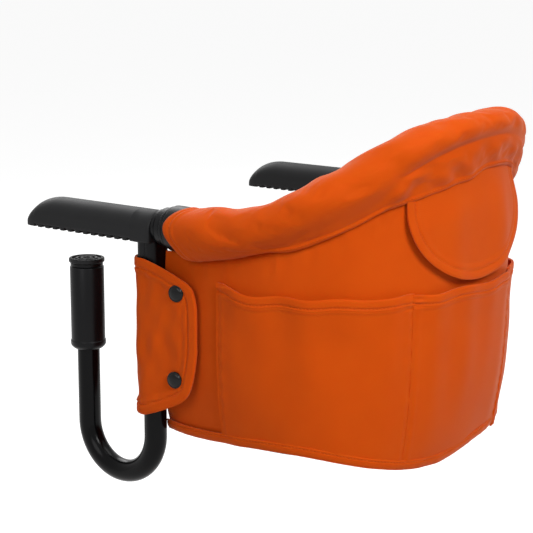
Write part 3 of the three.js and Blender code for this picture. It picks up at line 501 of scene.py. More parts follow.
def swollen(piece, sewn, reach, slack):
    """Fills a padded piece by a short cloth simulation. Sewn points stay, and none moves beyond reach.

    Slack is the share by which the cloth may grow."""
    scene = bpy.context.scene
    start = read_points(piece.data)
    group = piece.vertex_groups.new(name="sewn")
    group.add([int(i) for i in np.flatnonzero(sewn)], 1, "REPLACE")
    swell = piece.modifiers.new("swell", "CLOTH")
    swell.settings.vertex_group_mass = "sewn"
    swell.settings.use_pressure = True
    swell.settings.uniform_pressure_force = 4
    swell.settings.shrink_min = -slack
    swell.settings.effector_weights.gravity = 0
    for number in range(1, 21):
        scene.frame_set(number)
    filled = piece.evaluated_get(bpy.context.evaluated_depsgraph_get()).to_mesh()
    moved = read_points(filled) - start
    distance = np.linalg.norm(moved, axis=1, keepdims=True)
    moved *= np.minimum(1, reach * MM / np.maximum(distance, 1e-9))
    piece.modifiers.remove(swell)
    piece.vertex_groups.remove(group)
    piece.data.vertices.foreach_set("co", (start + moved).ravel())
    piece.data.update()
    scene.frame_set(1)


def softened(piece):
    finish = piece.modifiers.new("soft", "SUBSURF")
    finish.levels = finish.render_levels = 1


def stitched(name, seams, side=1):
    """Sews a run of stitches along each seam, given as its points and the cloth's outward directions."""
    shape = bmesh.new()
    for line, outs in seams:
        lengths = distances(line)
        count = int(lengths[-1] // STITCH_PITCH)
        for at in (np.arange(count) + 0.5) / count * lengths[-1]:
            middle, ahead, behind = (Vector([np.interp(spot, lengths, line[:, i]) for i in range(3)])
                                     for spot in (at, at + 0.5, at - 0.5))
            out = Vector([np.interp(at, lengths, outs[:, i]) for i in range(3)])
            run = (ahead - behind).normalized()
            over = run.cross(out).normalized()
            turn = Matrix((run, over, run.cross(over) * -1)).transposed().to_4x4()
            size = Matrix.Diagonal((STITCH_LENGTH / 2, STITCH_WIDTH / 2, STITCH_WIDTH / 2, 1))
            place = Matrix.Scale(MM, 4) @ Matrix.Translation(middle) @ turn @ size
            bmesh.ops.create_icosphere(shape, subdivisions=1, radius=1, matrix=place)
    piece = finished(name, shape, thread, side=side)
    return piece


def wall_seam(along, z, lift):
    """A seam on the seat's wall."""
    along, z, lift = np.broadcast_arrays(along, z, lift)
    line = wall(along, z, lift)
    return line, unit(wall(along, z, lift + 1) - line)


def edge_distance(spots, edge):
    """Distance of flat points from an open edge of straight runs."""
    nearest = np.full(len(spots), np.inf)
    for start, end in zip(edge, edge[1:]):
        run = end - start
        share = np.clip(((spots - start) @ run) / max(run @ run, 1e-9), 0, 1)
        nearest = np.minimum(nearest, np.linalg.norm(spots - start - share[:, None] * run, axis=1))
    return nearest


def hem_relief(inset, fold=HEM_FOLD, height=1.1):
    """How far a folded hem stands over the single cloth, by distance from its edge."""
    turned = height * (1 - smooth((inset - fold + 0.8) / 2.2))
    groove = 0.9 * height * bell(inset - fold + STITCH_IN, 1.1)
    ridge = 0.6 * height * bell(inset - fold - 1.8, 1.9)
    return turned - groove + ridge - 0.5 * height * bell(inset, 1.1)


# Materials

def linear(colour):
    """An sRGB hex colour as Blender's linear one."""
    values = [int(colour[i:i + 2], 16) / 255 for i in (1, 3, 5)]
    return (*[v / 12.92 if v <= 0.04045 else ((v + 0.055) / 1.055) ** 2.4 for v in values], 1)


def add_node(material, kind, inputs=(), **settings):
    """Adds a node, sets its fields, and gives each named input its value or link."""
    tree = material.node_tree
    node = tree.nodes.new(kind)
    for field, value in settings.items():
        setattr(node, field, value)
    for socket, value in dict(inputs).items():
        if isinstance(value, bpy.types.NodeSocket):
            tree.links.new(value, node.inputs[socket])
        else:
            node.inputs[socket].default_value = value
    return node.outputs


def new_material(name, colour, roughness, **sockets):
    """A material with its shader's constants set, and the shader to link patterns to."""
    material = bpy.data.materials.new(name)
    material.use_nodes = True
    shader = material.node_tree.nodes["Principled BSDF"]
    shader.inputs["Base Color"].default_value = linear(colour)
    shader.inputs["Roughness"].default_value = roughness
    for socket, value in sockets.items():
        shader.inputs[socket.replace("_", " ")].default_value = value
    return material, shader.inputs


def link(material, output, socket):
    material.node_tree.links.new(output, socket)


def noise(material, place, size, detail=2):
    """Soft patches of this size in millimetres."""
    sockets = {"Vector": place, "Scale": 1 / (size * MM), "Detail": detail}
    return add_node(material, "ShaderNodeTexNoise", sockets)["Fac"]


def mixed(material, factor, first, second):
    """A colour between two others."""
    sockets = {"Factor": factor, "A": first, "B": second}
    return add_node(material, "ShaderNodeMix", sockets, data_type="RGBA")["Result"]


def woven(name, tones, thread_pitch, roughness, relief, where="cut", **sockets):
    """Plain weave: warp and weft pass over each other like a fine chequered relief.

    Its tones are the dark and the light patches, which vary at random, and the tone painted on the tops of
    the threads, which on the canvas is a painted highlight."""
    material, shader = new_material(name, tones[1], roughness, **sockets)
    object_place = add_node(material, "ShaderNodeTexCoord")["Object"]
    place = add_node(material, "ShaderNodeUVMap", uv_map="cut")["UV"] if where == "cut" else object_place
    # A band of the wave texture is pi / 10 wide at a scale of 1
    scale = pi / 10 / (thread_pitch * 2 * MM)
    bands = []
    for direction in ("X", "Y"):
        wave = add_node(material, "ShaderNodeTexWave", {"Vector": place, "Scale": scale},
                        wave_type="BANDS", bands_direction=direction, wave_profile="SIN")
        bands.append(add_node(material, "ShaderNodeMath", {0: wave["Fac"], 1: 0.5}, operation="SUBTRACT")[0])
    weave = add_node(material, "ShaderNodeMath", {0: bands[0], 1: bands[1]}, operation="MULTIPLY")[0]
    bump = add_node(material, "ShaderNodeBump", {"Height": weave, "Strength": relief, "Distance": 0.4 * MM})
    # The tops of the threads are drawn toward the third tone and the hollows between them keep the base: on
    # the canvas this is a painted highlight on the thread tops.
    height = {"Value": weave, "From Min": -0.25, "From Max": 0.25, "To Min": 0.0, "To Max": 0.35}
    thread_tone_and_highlight = add_node(material, "ShaderNodeMapRange", height)["Result"]
    dark, light, top = (linear(tone) for tone in tones)
    base = mixed(material, noise(material, object_place, 28, 3), dark, light)
    link(material, mixed(material, thread_tone_and_highlight, base, top), shader["Base Color"])
    link(material, bump["Normal"], shader["Normal"])
    return material


def moulded(name, tones, roughness, grain, relief, **sockets):
    """Moulded or coated surface with a fine grain of this size in millimetres."""
    material, shader = new_material(name, tones[1], roughness, **sockets)
    place = add_node(material, "ShaderNodeTexCoord")["Object"]
    dark, light = (linear(tone) for tone in tones)
    link(material, mixed(material, noise(material, place, 22, 3), dark, light), shader["Base Color"])
    speckle = {"Height": noise(material, place, grain), "Strength": relief, "Distance": 0.2 * MM}
    link(material, add_node(material, "ShaderNodeBump", speckle)["Normal"], shader["Normal"])
    spread = 0.06
    clouds = noise(material, place, 35)
    cloudy = {"Value": clouds, "To Min": roughness - spread, "To Max": roughness + spread}
    link(material, add_node(material, "ShaderNodeMapRange", cloudy)["Result"], shader["Roughness"])
    return material


# Plain-woven polyester canvas: saturated, with a soft sheen where the light grazes it
# Its third tone is a painted highlight on the tops of the threads; the first two vary at random.
CANVAS_TONES_AND_HIGHLIGHT = ("#C84706", "#D24F08", "#DF5C10")
CANVAS_LOOK = {
    "Specular_IOR_Level": 0.03,
    "Sheen_Weight": 0.2, "Sheen_Roughness": 0.45, "Sheen_Tint": linear("#FFD2B4"),
    "Subsurface_Weight": 0.12, "Subsurface_Radius": (1.0, 0.12, 0.03), "Subsurface_Scale": 0.005,
}
canvas = woven("woven_polyester_canvas", CANVAS_TONES_AND_HIGHLIGHT, 0.8, 0.55, 0.35, **CANVAS_LOOK)
# The same canvas stretched over foam, drawn by object coordinates where the mesh was remade
padded_canvas = woven("padded_polyester_canvas", CANVAS_TONES_AND_HIGHLIGHT, 0.8, 0.55, 0.3, where="object", **CANVAS_LOOK)
# Spun polyester thread, a touch lighter than the canvas and fuzzy
thread = moulded("spun_polyester_thread", ("#C9500C", "#DB6420"), 0.7, 0.3, 0.3, Specular_IOR_Level=0.1)
# Polypropylene webbing: black, with close ribs across it
webbing = woven("woven_polypropylene_webbing", ("#131314", "#18181A", "#0B0B0C"), 1.2, 0.75, 0.6)
# Moulded EPDM rubber: soft grey highlights from a fine eroded grain
rubber = moulded("moulded_rubber", ("#151516", "#1B1B1C"), 0.55, 0.5, 0.2, Specular_IOR_Level=0.16)
# Injection-moulded glass-filled nylon: satin black
nylon = moulded("moulded_glass_filled_nylon", ("#08080A", "#0C0C0E"), 0.34, 0.35, 0.12,
                Specular_IOR_Level=0.14)
# Gloss powder coat on steel: deep black with a faint orange peel
powder_coat = moulded("gloss_powder_coat", ("#030304", "#050506"), 0.2, 1.6, 0.08, Specular_IOR_Level=0.1)
# Stove enamel on a pressed snap cap: almost a mirror
enamel = moulded("enamelled_snap_cap", ("#050506", "#070708"), 0.16, 2.5, 0.03, Specular_IOR_Level=0.2)
# Bright zinc plate: pale metal, slightly clouded
zinc = moulded("bright_zinc_plate", ("#B9BCBE", "#CDD0D2"), 0.32, 0.8, 0.05, Metallic=1.0)
# Extruded polypropylene sheet: plain dark grey, faintly waxy
polypropylene = moulded("extruded_polypropylene", ("#37373A", "#3F3F42"), 0.5, 1.2, 0.1)


# Seat: wall, pockets, flap, binding and base

def seat_wall():
    """Cloth wall of the seat, gathered under the cover's lip and tucked in behind the roll."""
    def place(along, up):
        top = wall_top(along)
        z = lerp(wall_low(along), top + 2, up**1.15)
        slack = np.minimum(0.9 * ripple(along, 3, 90) * np.sin(pi * up), 0.5)
        below_lip = lip_height(along) - z
        pressed = bell(below_lip - 4.5, 1.7) * smooth((along - 0.25) / 0.03) * smooth((0.4 - along) / 0.04)
        gathers = 0.5 * ripple(along, 5, 17) * bell(below_lip - 6, 12) + 1.3 * pressed
        tucked = 6 * smooth((z - top + 6) / 8) * (along > 0.035) * (along < 0.965)
        return wall(along, z, slack + gathers - tucked)
    piece = cloth("seat_shell", 220, 44, place, canvas, thickness=WALL_CLOTH)
    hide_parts("seat_wall")


def pocket(name, start, end, node, side, seed, corner=0.0):
    """A flat pocket with a folded top hem. Its seamed ends lie on the wall, and its mouth stands open.

    Corner is how far the top rises at the start. The rows of the upper half lie in the hem."""
    width = (end - start) * RIM.length
    seam_ease, mouth_depth = 26, 45
    def height(along, up, across):
        low = wall_low(along) + 2
        raised = corner * bell(across * width, 22)
        top = POCKET_HEM_Z + 0.9 * ripple(along, seed, 60) + raised
        fold = top - POCKET_BAND
        return np.where(up < 0.5, lerp(low, fold, up / 0.5), lerp(fold, top, (up - 0.5) / 0.5)), top
    def place(across, up):
        along = lerp(start, end, across)
        z, top = height(along, up, across)
        from_seam = np.minimum(across, 1 - across) * width
        free = smooth(from_seam / seam_ease)
        low = wall_low(along)
        fullness = np.sin(pi * np.clip((z - low) / (top - low), 0, 1) ** 1.4)
        mouth = smooth((z - top + mouth_depth) / mouth_depth)
        waves = 0.8 * ripple(along, seed + 1, 55) * (mouth + fullness)
        loose = free * (1.2 * fullness + 3.4 * mouth + waves)
        pucker = 0.6 * bell(from_seam - 5, 5) * np.sin(z * FULL / 9 + ripple(z / 300, seed, 40))
        soft = 0.5 * creases(along * RIM.length, z, seed + 5, 60) * free
        seam = -0.9 * bell(from_seam - 3, 1.2) + 0.5 * bell(from_seam - 6, 1.8)
        return wall(along, z, POCKET_LIFT + loose + pucker + soft + hem_relief(top - z) + seam)
    piece = cloth(name, 76, 60, place, canvas, side)
    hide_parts(node)
    return piece, place


def surface_seam(place, across, up):
    """A seam on a cloth piece, by its shares across and up."""
    across, up = np.broadcast_arrays(across, up)
    line = place(across, up)
    reach = 0.01
    ahead = place(across + reach, up) - place(across - reach, up)
    above = place(across, up + reach) - place(across, up - reach)
    outs = unit(np.cross(ahead, above))
    return line + outs * 0.15, outs


def pockets():
    """A pocket on each side and one at the back, each sewn down along its hem's fold."""
    run = np.linspace(0.015, 0.985, 120)
    climb = np.linspace(0.05, 0.98, 90)
    hem_low = 0.5 + 0.5 * (POCKET_BAND - HEM_FOLD + STITCH_IN) / POCKET_BAND
    for name, side in SIDES.items():
        piece, place = pocket(f"pocket_{name}", 0.1, 0.3785, f"side_pocket_{name}", side, 7 + side, 6.0)
        seams = [surface_seam(place, run, hem_low)]
        seams += [surface_seam(place, across, climb) for across in (0.016, 0.984)]
        stitched(f"pocket_stitches_{name}", seams, side)
    piece, place = pocket("pocket_back", 0.3765, 0.6235, "back_pocket", 1, 21)
    stitches = stitched("pocket_stitches_back", [surface_seam(place, run, hem_low)])


def flap_lift(along, z):
    """How far the flap lies off the wall: little at its seam under the lip, more below."""
    at_seam, ease, wave = 2.4, 34, 0.7
    over = smooth((lip_height(along) - z) / ease)
    return lerp(at_seam, FLAP_LIFT, over) + wave * ripple(along, 31, 50) * over


def pocket_flap():
    """Half-oval flap that hangs over the back pocket, with a stitched hem round its edge."""
    def low_edge(from_middle):
        inside = np.minimum(from_middle / FLAP_HALF_SHARE, 1)
        return FLAP_LOW_Z + FLAP_ROUND * (1 - np.sqrt(1 - inside**2))
    edge_share = FLAP_HALF_SHARE * np.sin(np.linspace(-pi / 2, pi / 2, 121))
    edge = points(edge_share * HEM.length, low_edge(np.abs(edge_share)))
    side_top = edge[-1] + (0, 60)
    edge = np.concatenate([[side_top * (-1, 1)], edge, [side_top]])
    def place(across, up):
        from_middle = FLAP_HALF_SHARE * np.sin((across - 0.5) * pi)
        along = 0.5 + from_middle
        z = lerp(low_edge(np.abs(from_middle)), lip_height(along) + 3, up)
        inset = edge_distance(points(from_middle * HEM.length, z), edge)
        return wall(along, z, flap_lift(along, z) + 1.2 * bell(inset, 6) + hem_relief(inset))
    piece = cloth("back_flap", 110, 60, place, canvas)
    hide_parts("pocket_flap")
    inner = HEM_FOLD - STITCH_IN
    turns = np.linspace(-pi / 2, pi / 2, 160)
    reach = FLAP_HALF_SHARE - inner / HEM.length
    share = 0.5 + reach * np.sin(turns)
    z = FLAP_LOW_Z + inner + (FLAP_ROUND - inner) * (1 - np.cos(turns))
    tops = lip_height(0.5 + reach * np.array([-1.0, 1.0])) - 2
    share = np.concatenate([[share[0]], share, [share[-1]]])
    z = np.concatenate([[tops[0]], z, [tops[1]]])
    stitches = stitched("flap_stitches", [wall_seam(share, z, flap_lift(share, z) + 0.6)])


def base_binding():
    """Binding folded round the seam between wall and base."""
    fold, under, lift, stitch_in = 3.5, 6, 4.2, 2.4
    def place(along, up):
        run = up * (under + fold + BINDING_HEIGHT)
        beneath = np.clip((under - run) / under, 0, 1)
        z = wall_low(along) - fold + np.maximum(0, run - under)
        corner = bell(run - under - 0.3, 1.8)
        inset = fold + BINDING_HEIGHT + under - run
        wave = 0.3 * ripple(along, 51, 30) + 0.15 * ripple(along, 53, 9)
        edge = -0.9 * bell(inset, 1.0) - 0.7 * bell(inset - stitch_in, 0.8)
        return wall(along, z, lift + wave + edge - beneath * under - 0.9 * corner)
    piece = cloth("base_edge_binding", 220, 34, place, canvas, thickness=1.6)
    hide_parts("base_binding")
    along = np.linspace(0.01, 0.99, 500)
    z = wall_low(along) + BINDING_HEIGHT - stitch_in
    stitches = stitched("binding_stitches", [wall_seam(along, z, lift - 0.4)])


def base_cloth():
    """Cloth under the seat, level with the board and drawn down to the hem at its edge."""
    rear_gap, run, narrowing = 0.4, 26, 0.03
    def place(across, up):
        y = lerp(SEAT_FRONT, HEM_DEPTH - rear_gap, np.sin(up * pi / 2))
        bent = np.maximum(0, (y - HEM_BEND) / (HEM_DEPTH - HEM_BEND))
        half = HEM_HALF * (1 - bent**HEM_POWER) ** (1 / HEM_POWER)
        x = lerp(-half, half, across)
        share = HEM.share_at(y)
        edge = lerp(wall_low(1 - share), wall_low(share), across)
        near_edge = np.maximum(np.abs(across * 2 - 1), up) ** 7
        forward = CORNER_FORWARD * smooth((run - (y - SEAT_FRONT)) / run)
        z = lerp(board_height(y), edge, near_edge) - 0.4
        return points(x * (1 - narrowing * forward / CORNER_FORWARD), y - forward, z)
    piece = cloth("base_cloth", 60, 44, place, canvas, thickness=3.4)
    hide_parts("base_panel")


# Padded pieces

def hood_start(turn):
    """Share of the rim at which the cover's hood starts: a point outside, drawn back above and below."""
    drawn = 1 - np.exp(-((turned_from(turn, HOOD_TURN) / 1.025) ** 2))
    return (HOOD_START + HOOD_REACH * drawn - RIM_FRONT) / RIM.length


def stuffed_point(along, turn, valley, depth):
    """A point of the stuffed roll, which is drawn in along its valley."""
    radius = roll_radius(along)
    beyond = turned_from(turn, valley)
    length, girth = along * RIM.length, turn * radius
    soft = 0.6 * creases(length, girth, 71, 78) + 0.45 * creases(length, girth, 73, 36)
    dent = -3.2 * bell(length - 205 + 0.35 * girth, 26) * bell(girth - 20, 26)
    pulled = depth * bell(beyond, 0.66)
    fullness = roll_swell(along, turn) + (soft + dent) * smooth(np.abs(beyond) / 0.5)
    return roll_point(along, turn, radius - pulled + fullness)


def skirt_point(along, skirt, valley, depth):
    """A point of the skirt: from the valley down its outer face, round the lip on the wall, and up
    behind it to the roll's underside. Where the valley is deep, the skirt has a belly."""
    radius = roll_radius(along)
    deep = smooth((depth - 0.5) / 3.5)[..., None]
    _, side, up, _ = rim_frame(along)
    down = np.array((0, 0, -1.0))
    lip = lip_height(along)
    edge = wall(along, lip, 4.4 + 0.6 * ripple(along, 41, 34))
    inner = wall(along, lip + 1.0, 0.9)
    top = roll_point(along, valley, radius - depth + roll_swell(along, valley))
    fall = (top[..., 2] - lip)[..., None]
    onward = np.sin(valley)[..., None] * side - np.cos(valley)[..., None] * up
    belly = side * (2.5 + 1.2 * ripple(along, 43, 60))[..., None]
    first = top + lerp(onward * fall * 0.36, down * fall * 0.34 + belly, deep)
    second = edge - down * fall * 0.36 + lerp(side * 1.5, belly * 1.3, deep)
    outer_end, turn_share = 0.66, 0.09
    lip_end = outer_end + turn_share
    t = np.clip(skirt / outer_end, 0, 1)[..., None]
    outer = ((1 - t) ** 3 * top + 3 * t * (1 - t) ** 2 * first + 3 * t * t * (1 - t) * second + t**3 * edge)
    drop = t[..., 0] * fall[..., 0]
    from_lip = fall[..., 0] - drop
    pleats = 1.3 * creases(along * RIM.length, drop * 1.4, 75, 26) * bell(from_lip - 14, 13) * deep[..., 0]
    relief = pleats + 0.9 * bell(from_lip - 1.6, 1.7) - 0.8 * bell(from_lip - 4.8, 1.3)
    outer = outer + side * (relief * smooth(t[..., 0] / 0.12))[..., None]
    turned = np.clip((skirt - outer_end) / turn_share, 0, 1)[..., None]
    under = lerp(edge, inner, turned) + down * (1.6 * np.sin(pi * turned))
    bottom = roll_point(along, -pi / 2, radius)
    behind = lerp(inner, bottom, np.clip((skirt - lip_end) / (1 - lip_end), 0, 1)[..., None])
    part = skirt[..., None]
    return np.where(part < outer_end, outer, np.where(part < lip_end, under, behind))


def cover_turn(s, valley):
    """Turn round the roll at this s of its cover."""
    skirt = np.clip(s / SKIRT_SHARE, 0, 1)
    around = np.clip((s - SKIRT_SHARE) / (1 - SKIRT_SHARE), 0, 1)
    return np.where(s < SKIRT_SHARE, lerp(valley, -pi / 2, skirt), lerp(1.5 * pi, valley, around))


def cover_point(along, s):
    """A point of the roll's cover: s runs from the valley down the skirt to the lip, back up behind it,
    and round the roll inside and over the top."""
    valley = np.radians(eased(VALLEY_TURNS, along))
    depth = eased(VALLEY_DEPTHS, along)
    rolled = stuffed_point(along, cover_turn(s, valley), valley, depth)
    skirt = skirt_point(along, np.clip(s / SKIRT_SHARE, 0, 1), valley, depth)
    hangs_from, ease = 0.13, 0.08
    hanging = smooth((np.minimum(along, 1 - along) - hangs_from) / ease)[..., None]
    return lerp(rolled, np.where((s < SKIRT_SHARE)[..., None], skirt, rolled), hanging)


def padded_rim():
    """Foam roll and its cover, sewn round the rim tube, with a skirt down to a lip on the wall
    and a pointed hood over each collar."""
    ring, length_steps, ends = 80, 240, 5
    last = length_steps + 2 * ends
    hem_fold, hem_height, ease = 9.5, 1.3, 22
    held_to = (62 - RIM_FRONT) / RIM.length
    lining_end = (COLLAR_SLEEVE + 1.5 - RIM_FRONT) / RIM.length
    lining_radius = TUBE + 0.9
    def place(s, length):
        step = np.rint(length * last)
        station = np.clip((step - ends) / length_steps, 0, 1)
        turn = cover_turn(s, END_VALLEY)
        start = hood_start(turn)
        along = lerp(start, 1 - start, station - 0.06 * np.sin(FULL * station))
        from_edge = np.minimum(along - start, 1 - start - along) * RIM.length
        centre = rim_frame(along)[0]
        away = cover_point(along, s) - centre
        reach = np.linalg.norm(away, axis=-1, keepdims=True)
        hem = hem_relief(from_edge, hem_fold, hem_height) * smooth((30 - from_edge) / 8)
        drawn = 1.6 * (1 - smooth(from_edge / ease))
        shape = centre + away * (1 + ((hem - drawn)[..., None]) / reach)
        # The cover turns in at each end and runs back inside as a lining
        beyond = np.maximum(ends - step, step - ends - length_steps)
        inner = np.where(station > 0.5, 1 - lining_end, lining_end)
        inward = np.where(beyond <= 1, along, lerp(along, inner, np.clip((beyond - 1) / 3, 0, 1)))
        lining = roll_point(inward, turn, np.where(beyond < ends, roll_radius(along) - 1.9, lining_radius))
        return np.where((beyond > 0)[..., None], lining, shape)
    shape = bmesh.new()
    add_surface(shape, ring, last, place)
    bmesh.ops.remove_doubles(shape, verts=shape.verts, dist=0.01 * MM)
    bmesh.ops.recalc_face_normals(shape, faces=shape.faces)
    piece = finished("padded_rim", shape, canvas)
    at = read_points(piece.data) / MM
    share = nearest_share(at)
    from_axis = np.linalg.norm(at - rim_frame(share)[0], axis=1)
    sewn = (from_axis < roll_radius(share) * 0.86) | (at[:, 2] < lip_height(share) + 7)
    sewn |= np.minimum(share, 1 - share) < held_to
    swollen(piece, sewn, reach=1, slack=0.008)
    softened(piece)
    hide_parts("rim_pad", "roll_skirt")
    for name, side in SIDES.items():
        turns = np.linspace(-1.5, 4.7, 200)
        along = hood_start(turns) + (hem_fold - STITCH_IN) / RIM.length
        line = roll_point(along, turns, roll_radius(along) + roll_swell(along, turns) - 0.7)
        stitched(f"hood_stitches_{name}", [(line, unit(line - rim_frame(along)[0]))], side)
    along = np.linspace(0.19, 0.81, 420)
    line = cover_point(along, np.full(len(along), 0.243))
    outs = unit(np.cross(unit(np.gradient(line, axis=0)), (0, 0, 1.0)))
    stitched("lip_stitches", [(line + outs * 0.2, outs)])


def nearest_share(at):
    """Share of the rim at the place of it that each point is nearest to."""
    shares = np.linspace(0, 1, 801)
    centres = rim_frame(shares)[0]
    return np.array([shares[np.argmin(((centres - spot) ** 2).sum(axis=1))] for spot in at])


def cushion_outline(turn):
    """Distance from the cushion's middle to its edge in this direction."""
    half = HEM_HALF - CUSHION_INSET
    reach = np.linspace(0, HEM_DEPTH, 2000)[None, :]
    x, y = np.abs(np.cos(turn))[:, None] * reach, np.sin(turn)[:, None] * reach + CUSHION_MIDDLE
    beyond = np.maximum(0, y - HEM_BEND) / (HEM_DEPTH - CUSHION_INSET - HEM_BEND)
    inside = (x / half) ** HEM_POWER * (beyond > 0) + beyond**HEM_POWER <= 1
    forward = np.maximum(0, CUSHION_FRONT + CUSHION_ROUND - y) / CUSHION_ROUND
    sideways = np.maximum(0, x / half - 0.86) / 0.14
    inside &= (x <= half) & (sideways**2 + forward**2 <= 1)
    return reach[0, np.argmin(inside, axis=1) - 1]


def seat_cushion():
    """Crowned cushion with a piped edge, filled by simulation."""
    turns = np.linspace(0, FULL, 721)
    edge = cushion_outline(turns)
    widest = 0.45
    profile = [(0, 0), (0.9, 0), (0.965, 0.1), (1, widest), (0.965, 0.72), (0.86, 0.86), (0.6, 0.95), (0, 1)]
    steps = np.linspace(0, 1, len(profile))
    shares, heights = zip(*profile)
    def place(around, up):
        turn = around * FULL
        reach = np.interp(turn, turns, edge) * np.interp(up, steps, shares)
        x, y = reach * np.cos(turn), CUSHION_MIDDLE + reach * np.sin(turn)
        return points(x, y, board_height(y) + CUSHION_LIFT + np.interp(up, steps, heights) * CUSHION_HEIGHT)
    shape = bmesh.new()
    add_surface(shape, 96, 42, place, closed=True)
    piece = finished("filled_cushion", shape, padded_canvas)
    remesh = piece.modifiers.new("even", "REMESH")
    remesh.mode = "VOXEL"
    remesh.voxel_size = 5.5 * MM
    solid = bpy.data.meshes.new_from_object(piece.evaluated_get(bpy.context.evaluated_depsgraph_get()))
    piece.modifiers.remove(remesh)
    piece.data = solid
    solid.shade_smooth()
    at = read_points(solid) / MM
    turn = np.arctan2(at[:, 1] - CUSHION_MIDDLE, at[:, 0]) % FULL
    reach = np.hypot(at[:, 0], at[:, 1] - CUSHION_MIDDLE) / np.interp(turn, turns, edge)
    swollen(piece, (reach > 0.975) | (at[:, 2] < board_height(at[:, 1]) + 8), reach=5, slack=0.01)
    softened(piece)
    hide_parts("seat_cushion")
    shape = bmesh.new()
    radius = 1.7
    def piping(around, length):
        turn = length * FULL
        out = np.interp(turn, turns, edge) + 0.6 + radius * np.cos(around * FULL)
        x, y = out * np.cos(turn), CUSHION_MIDDLE + out * np.sin(turn)
        z = board_height(y) + CUSHION_LIFT + widest * CUSHION_HEIGHT + radius * np.sin(around * FULL)
        return points(x, y, z)
    add_surface(shape, 10, 240, piping, closed=True)
    cord = finished("cushion_piping", shape, canvas)


# Front panel

def front_panel():
    """Front of the seat, cut down for each leg and bound along its top edge."""
    peak, dip, corner = -92, -148, -62
    half = HEM_HALF - WALL_CLOTH
    binding_y = SEAT_FRONT + 1.6
    def top_at(x):
        from_middle = np.abs(x) / half
        rim = lerp(peak, corner, from_middle**2)
        return rim + (dip - rim) * (1 - np.cos(from_middle * FULL)) / 2
    def place(across, up):
        x = lerp(-half, half, across)
        z = lerp(BOARD_FRONT_Z + 0.3, top_at(x) - 1.5, up)
        slack = 0.8 * ripple(across, 61, 80) * np.sin(pi * up)
        return points(x, SEAT_FRONT + 0.2 + slack, z)
    piece = cloth("front_cloth", 120, 26, place, canvas, thickness=2.8)
    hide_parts("front_panel")
    height, thick = 5.5, 2.7
    def binding(around, length):
        x = lerp(-half, half, length)
        reach = 0.5
        slope = (top_at(x + reach) - top_at(x - reach)) / (2 * reach)
        down = unit(points(slope, -1))
        turn = around * FULL
        depth = height - height * np.sign(np.cos(turn)) * np.abs(np.cos(turn)) ** 0.7
        out = thick * np.sign(np.sin(turn)) * np.abs(np.sin(turn)) ** 0.8
        return points(x + down[:, 0] * depth, binding_y + out, top_at(x) + 0.6 + down[:, 1] * depth)
    shape = bmesh.new()
    add_surface(shape, 28, 200, binding, closed=True)
    edge = finished("front_edge_binding", shape, canvas)
    x = np.linspace(-half + 3, half - 3, 400)
    line = points(x, binding_y - thick, top_at(x) - 7.5)
    outs = np.broadcast_to((0.0, -1.0, 0.0), line.shape)
    stitched("front_stitches", [(line, outs)])


def refined(name, node, material, width, body="seat"):
    """A copy of a CAD piece with its loose triangles merged and its edges rounded."""
    shape = bmesh.new()
    shape.from_mesh(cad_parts[node].data)
    bmesh.ops.transform(shape, matrix=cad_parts[node].matrix_world, verts=shape.verts)
    bmesh.ops.remove_doubles(shape, verts=shape.verts, dist=0.01 * MM)
    bmesh.ops.dissolve_limit(shape, angle_limit=radians(1), verts=shape.verts, edges=shape.edges)
    piece = rounded(finished(name, shape, material, body), width)
    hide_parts(node)
    return piece


# Sleeves round the hooks

def sleeve_plan():
    """Plan of the sleeve from the seat's front round the hook's leg to its tail."""
    inner = SLEEVE_HALF - SLEEVE_CORNER
    bends = []
    for middle, first in ((-inner, pi), (inner, 1.5 * pi)):
        for turn in np.linspace(first, first + pi / 2, 13):
            bends.append((middle + SLEEVE_CORNER * cos(turn), -inner + SLEEVE_CORNER * sin(turn)))
    tail = [(lerp(SLEEVE_HALF, TAIL_HALF, share**1.15), lerp(TAIL_START, SLEEVE_TAIL, share))
            for share in np.linspace(0, 1, TAIL_POINTS)]
    route = np.array([(-SLEEVE_HALF, SEAT_FRONT - 0.3), *bends, *tail])
    return route, distances(route)


SLEEVE_ROUTE, SLEEVE_RUN = sleeve_plan()


def sleeve_spot(run, z, lift):
    """A point on the left sleeve, this far along its plan, at a height and outside its face."""
    def plan(at):
        return points(*(np.interp(at, SLEEVE_RUN, SLEEVE_ROUTE[:, i]) for i in (0, 1)))
    reach = 1.2
    tangent = unit(plan(run + reach) - plan(run - reach))
    place = plan(run) + points(tangent[..., 1], -tangent[..., 0]) * (lift + SLEEVE_CLOTH / 2)[..., None]
    return points(ARM_X + place[..., 0], place[..., 1], z)


def sleeve_extent(run):
    """Lower and upper edge of the sleeve: its tail is rounded off above and sweeps up below."""
    y = np.interp(run, SLEEVE_RUN, SLEEVE_ROUTE[:, 1])
    outside = run > SLEEVE_RUN[-1] / 2
    tail = np.where(outside, np.clip(y / SLEEVE_TAIL, 0, 1), 0)
    top = SLEEVE_TOP - 24 * tail**1.4 - 20 * tail**24
    low = SLEEVE_LOW + 26.5 * tail**1.2 + 43 * tail**12.6
    return low, top


def sleeve_edge():
    """The sleeve's edge, laid flat: along its top to the end of the tail and back below."""
    run = SLEEVE_RUN[-1] * (1 - (1 - np.linspace(0, 1, 90)) ** 2.5)
    low, top = sleeve_extent(run)
    return np.concatenate([points(run, top), points(run, low)[::-1]])


def snap_cap(name, side, foot, out):
    """Domed cap with a rolled rim, set on the cloth."""
    shape = bmesh.new()
    dome = [(SNAP * sin(turn) * 0.82, 1.6 + 1.5 * cos(turn)) for turn in np.linspace(0, pi / 2, 9)]
    rim = [(0.86, 1.3), (0.93, 1.75), (0.985, 1.6), (1, 1.1), (1, 0.3), (0.95, 0), (0, 0)]
    rim = [(SNAP * share, height) for share, height in rim]
    facing = Vector(out).to_track_quat("Z", "Y").to_matrix().to_4x4()
    add_spun(shape, [*dome, *rim], Matrix.Translation(Vector(foot) * MM) @ facing, 64)
    cap = finished(f"snap_{name}", shape, enamel, side=side)
    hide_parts(f"sleeve_snap_{name}")


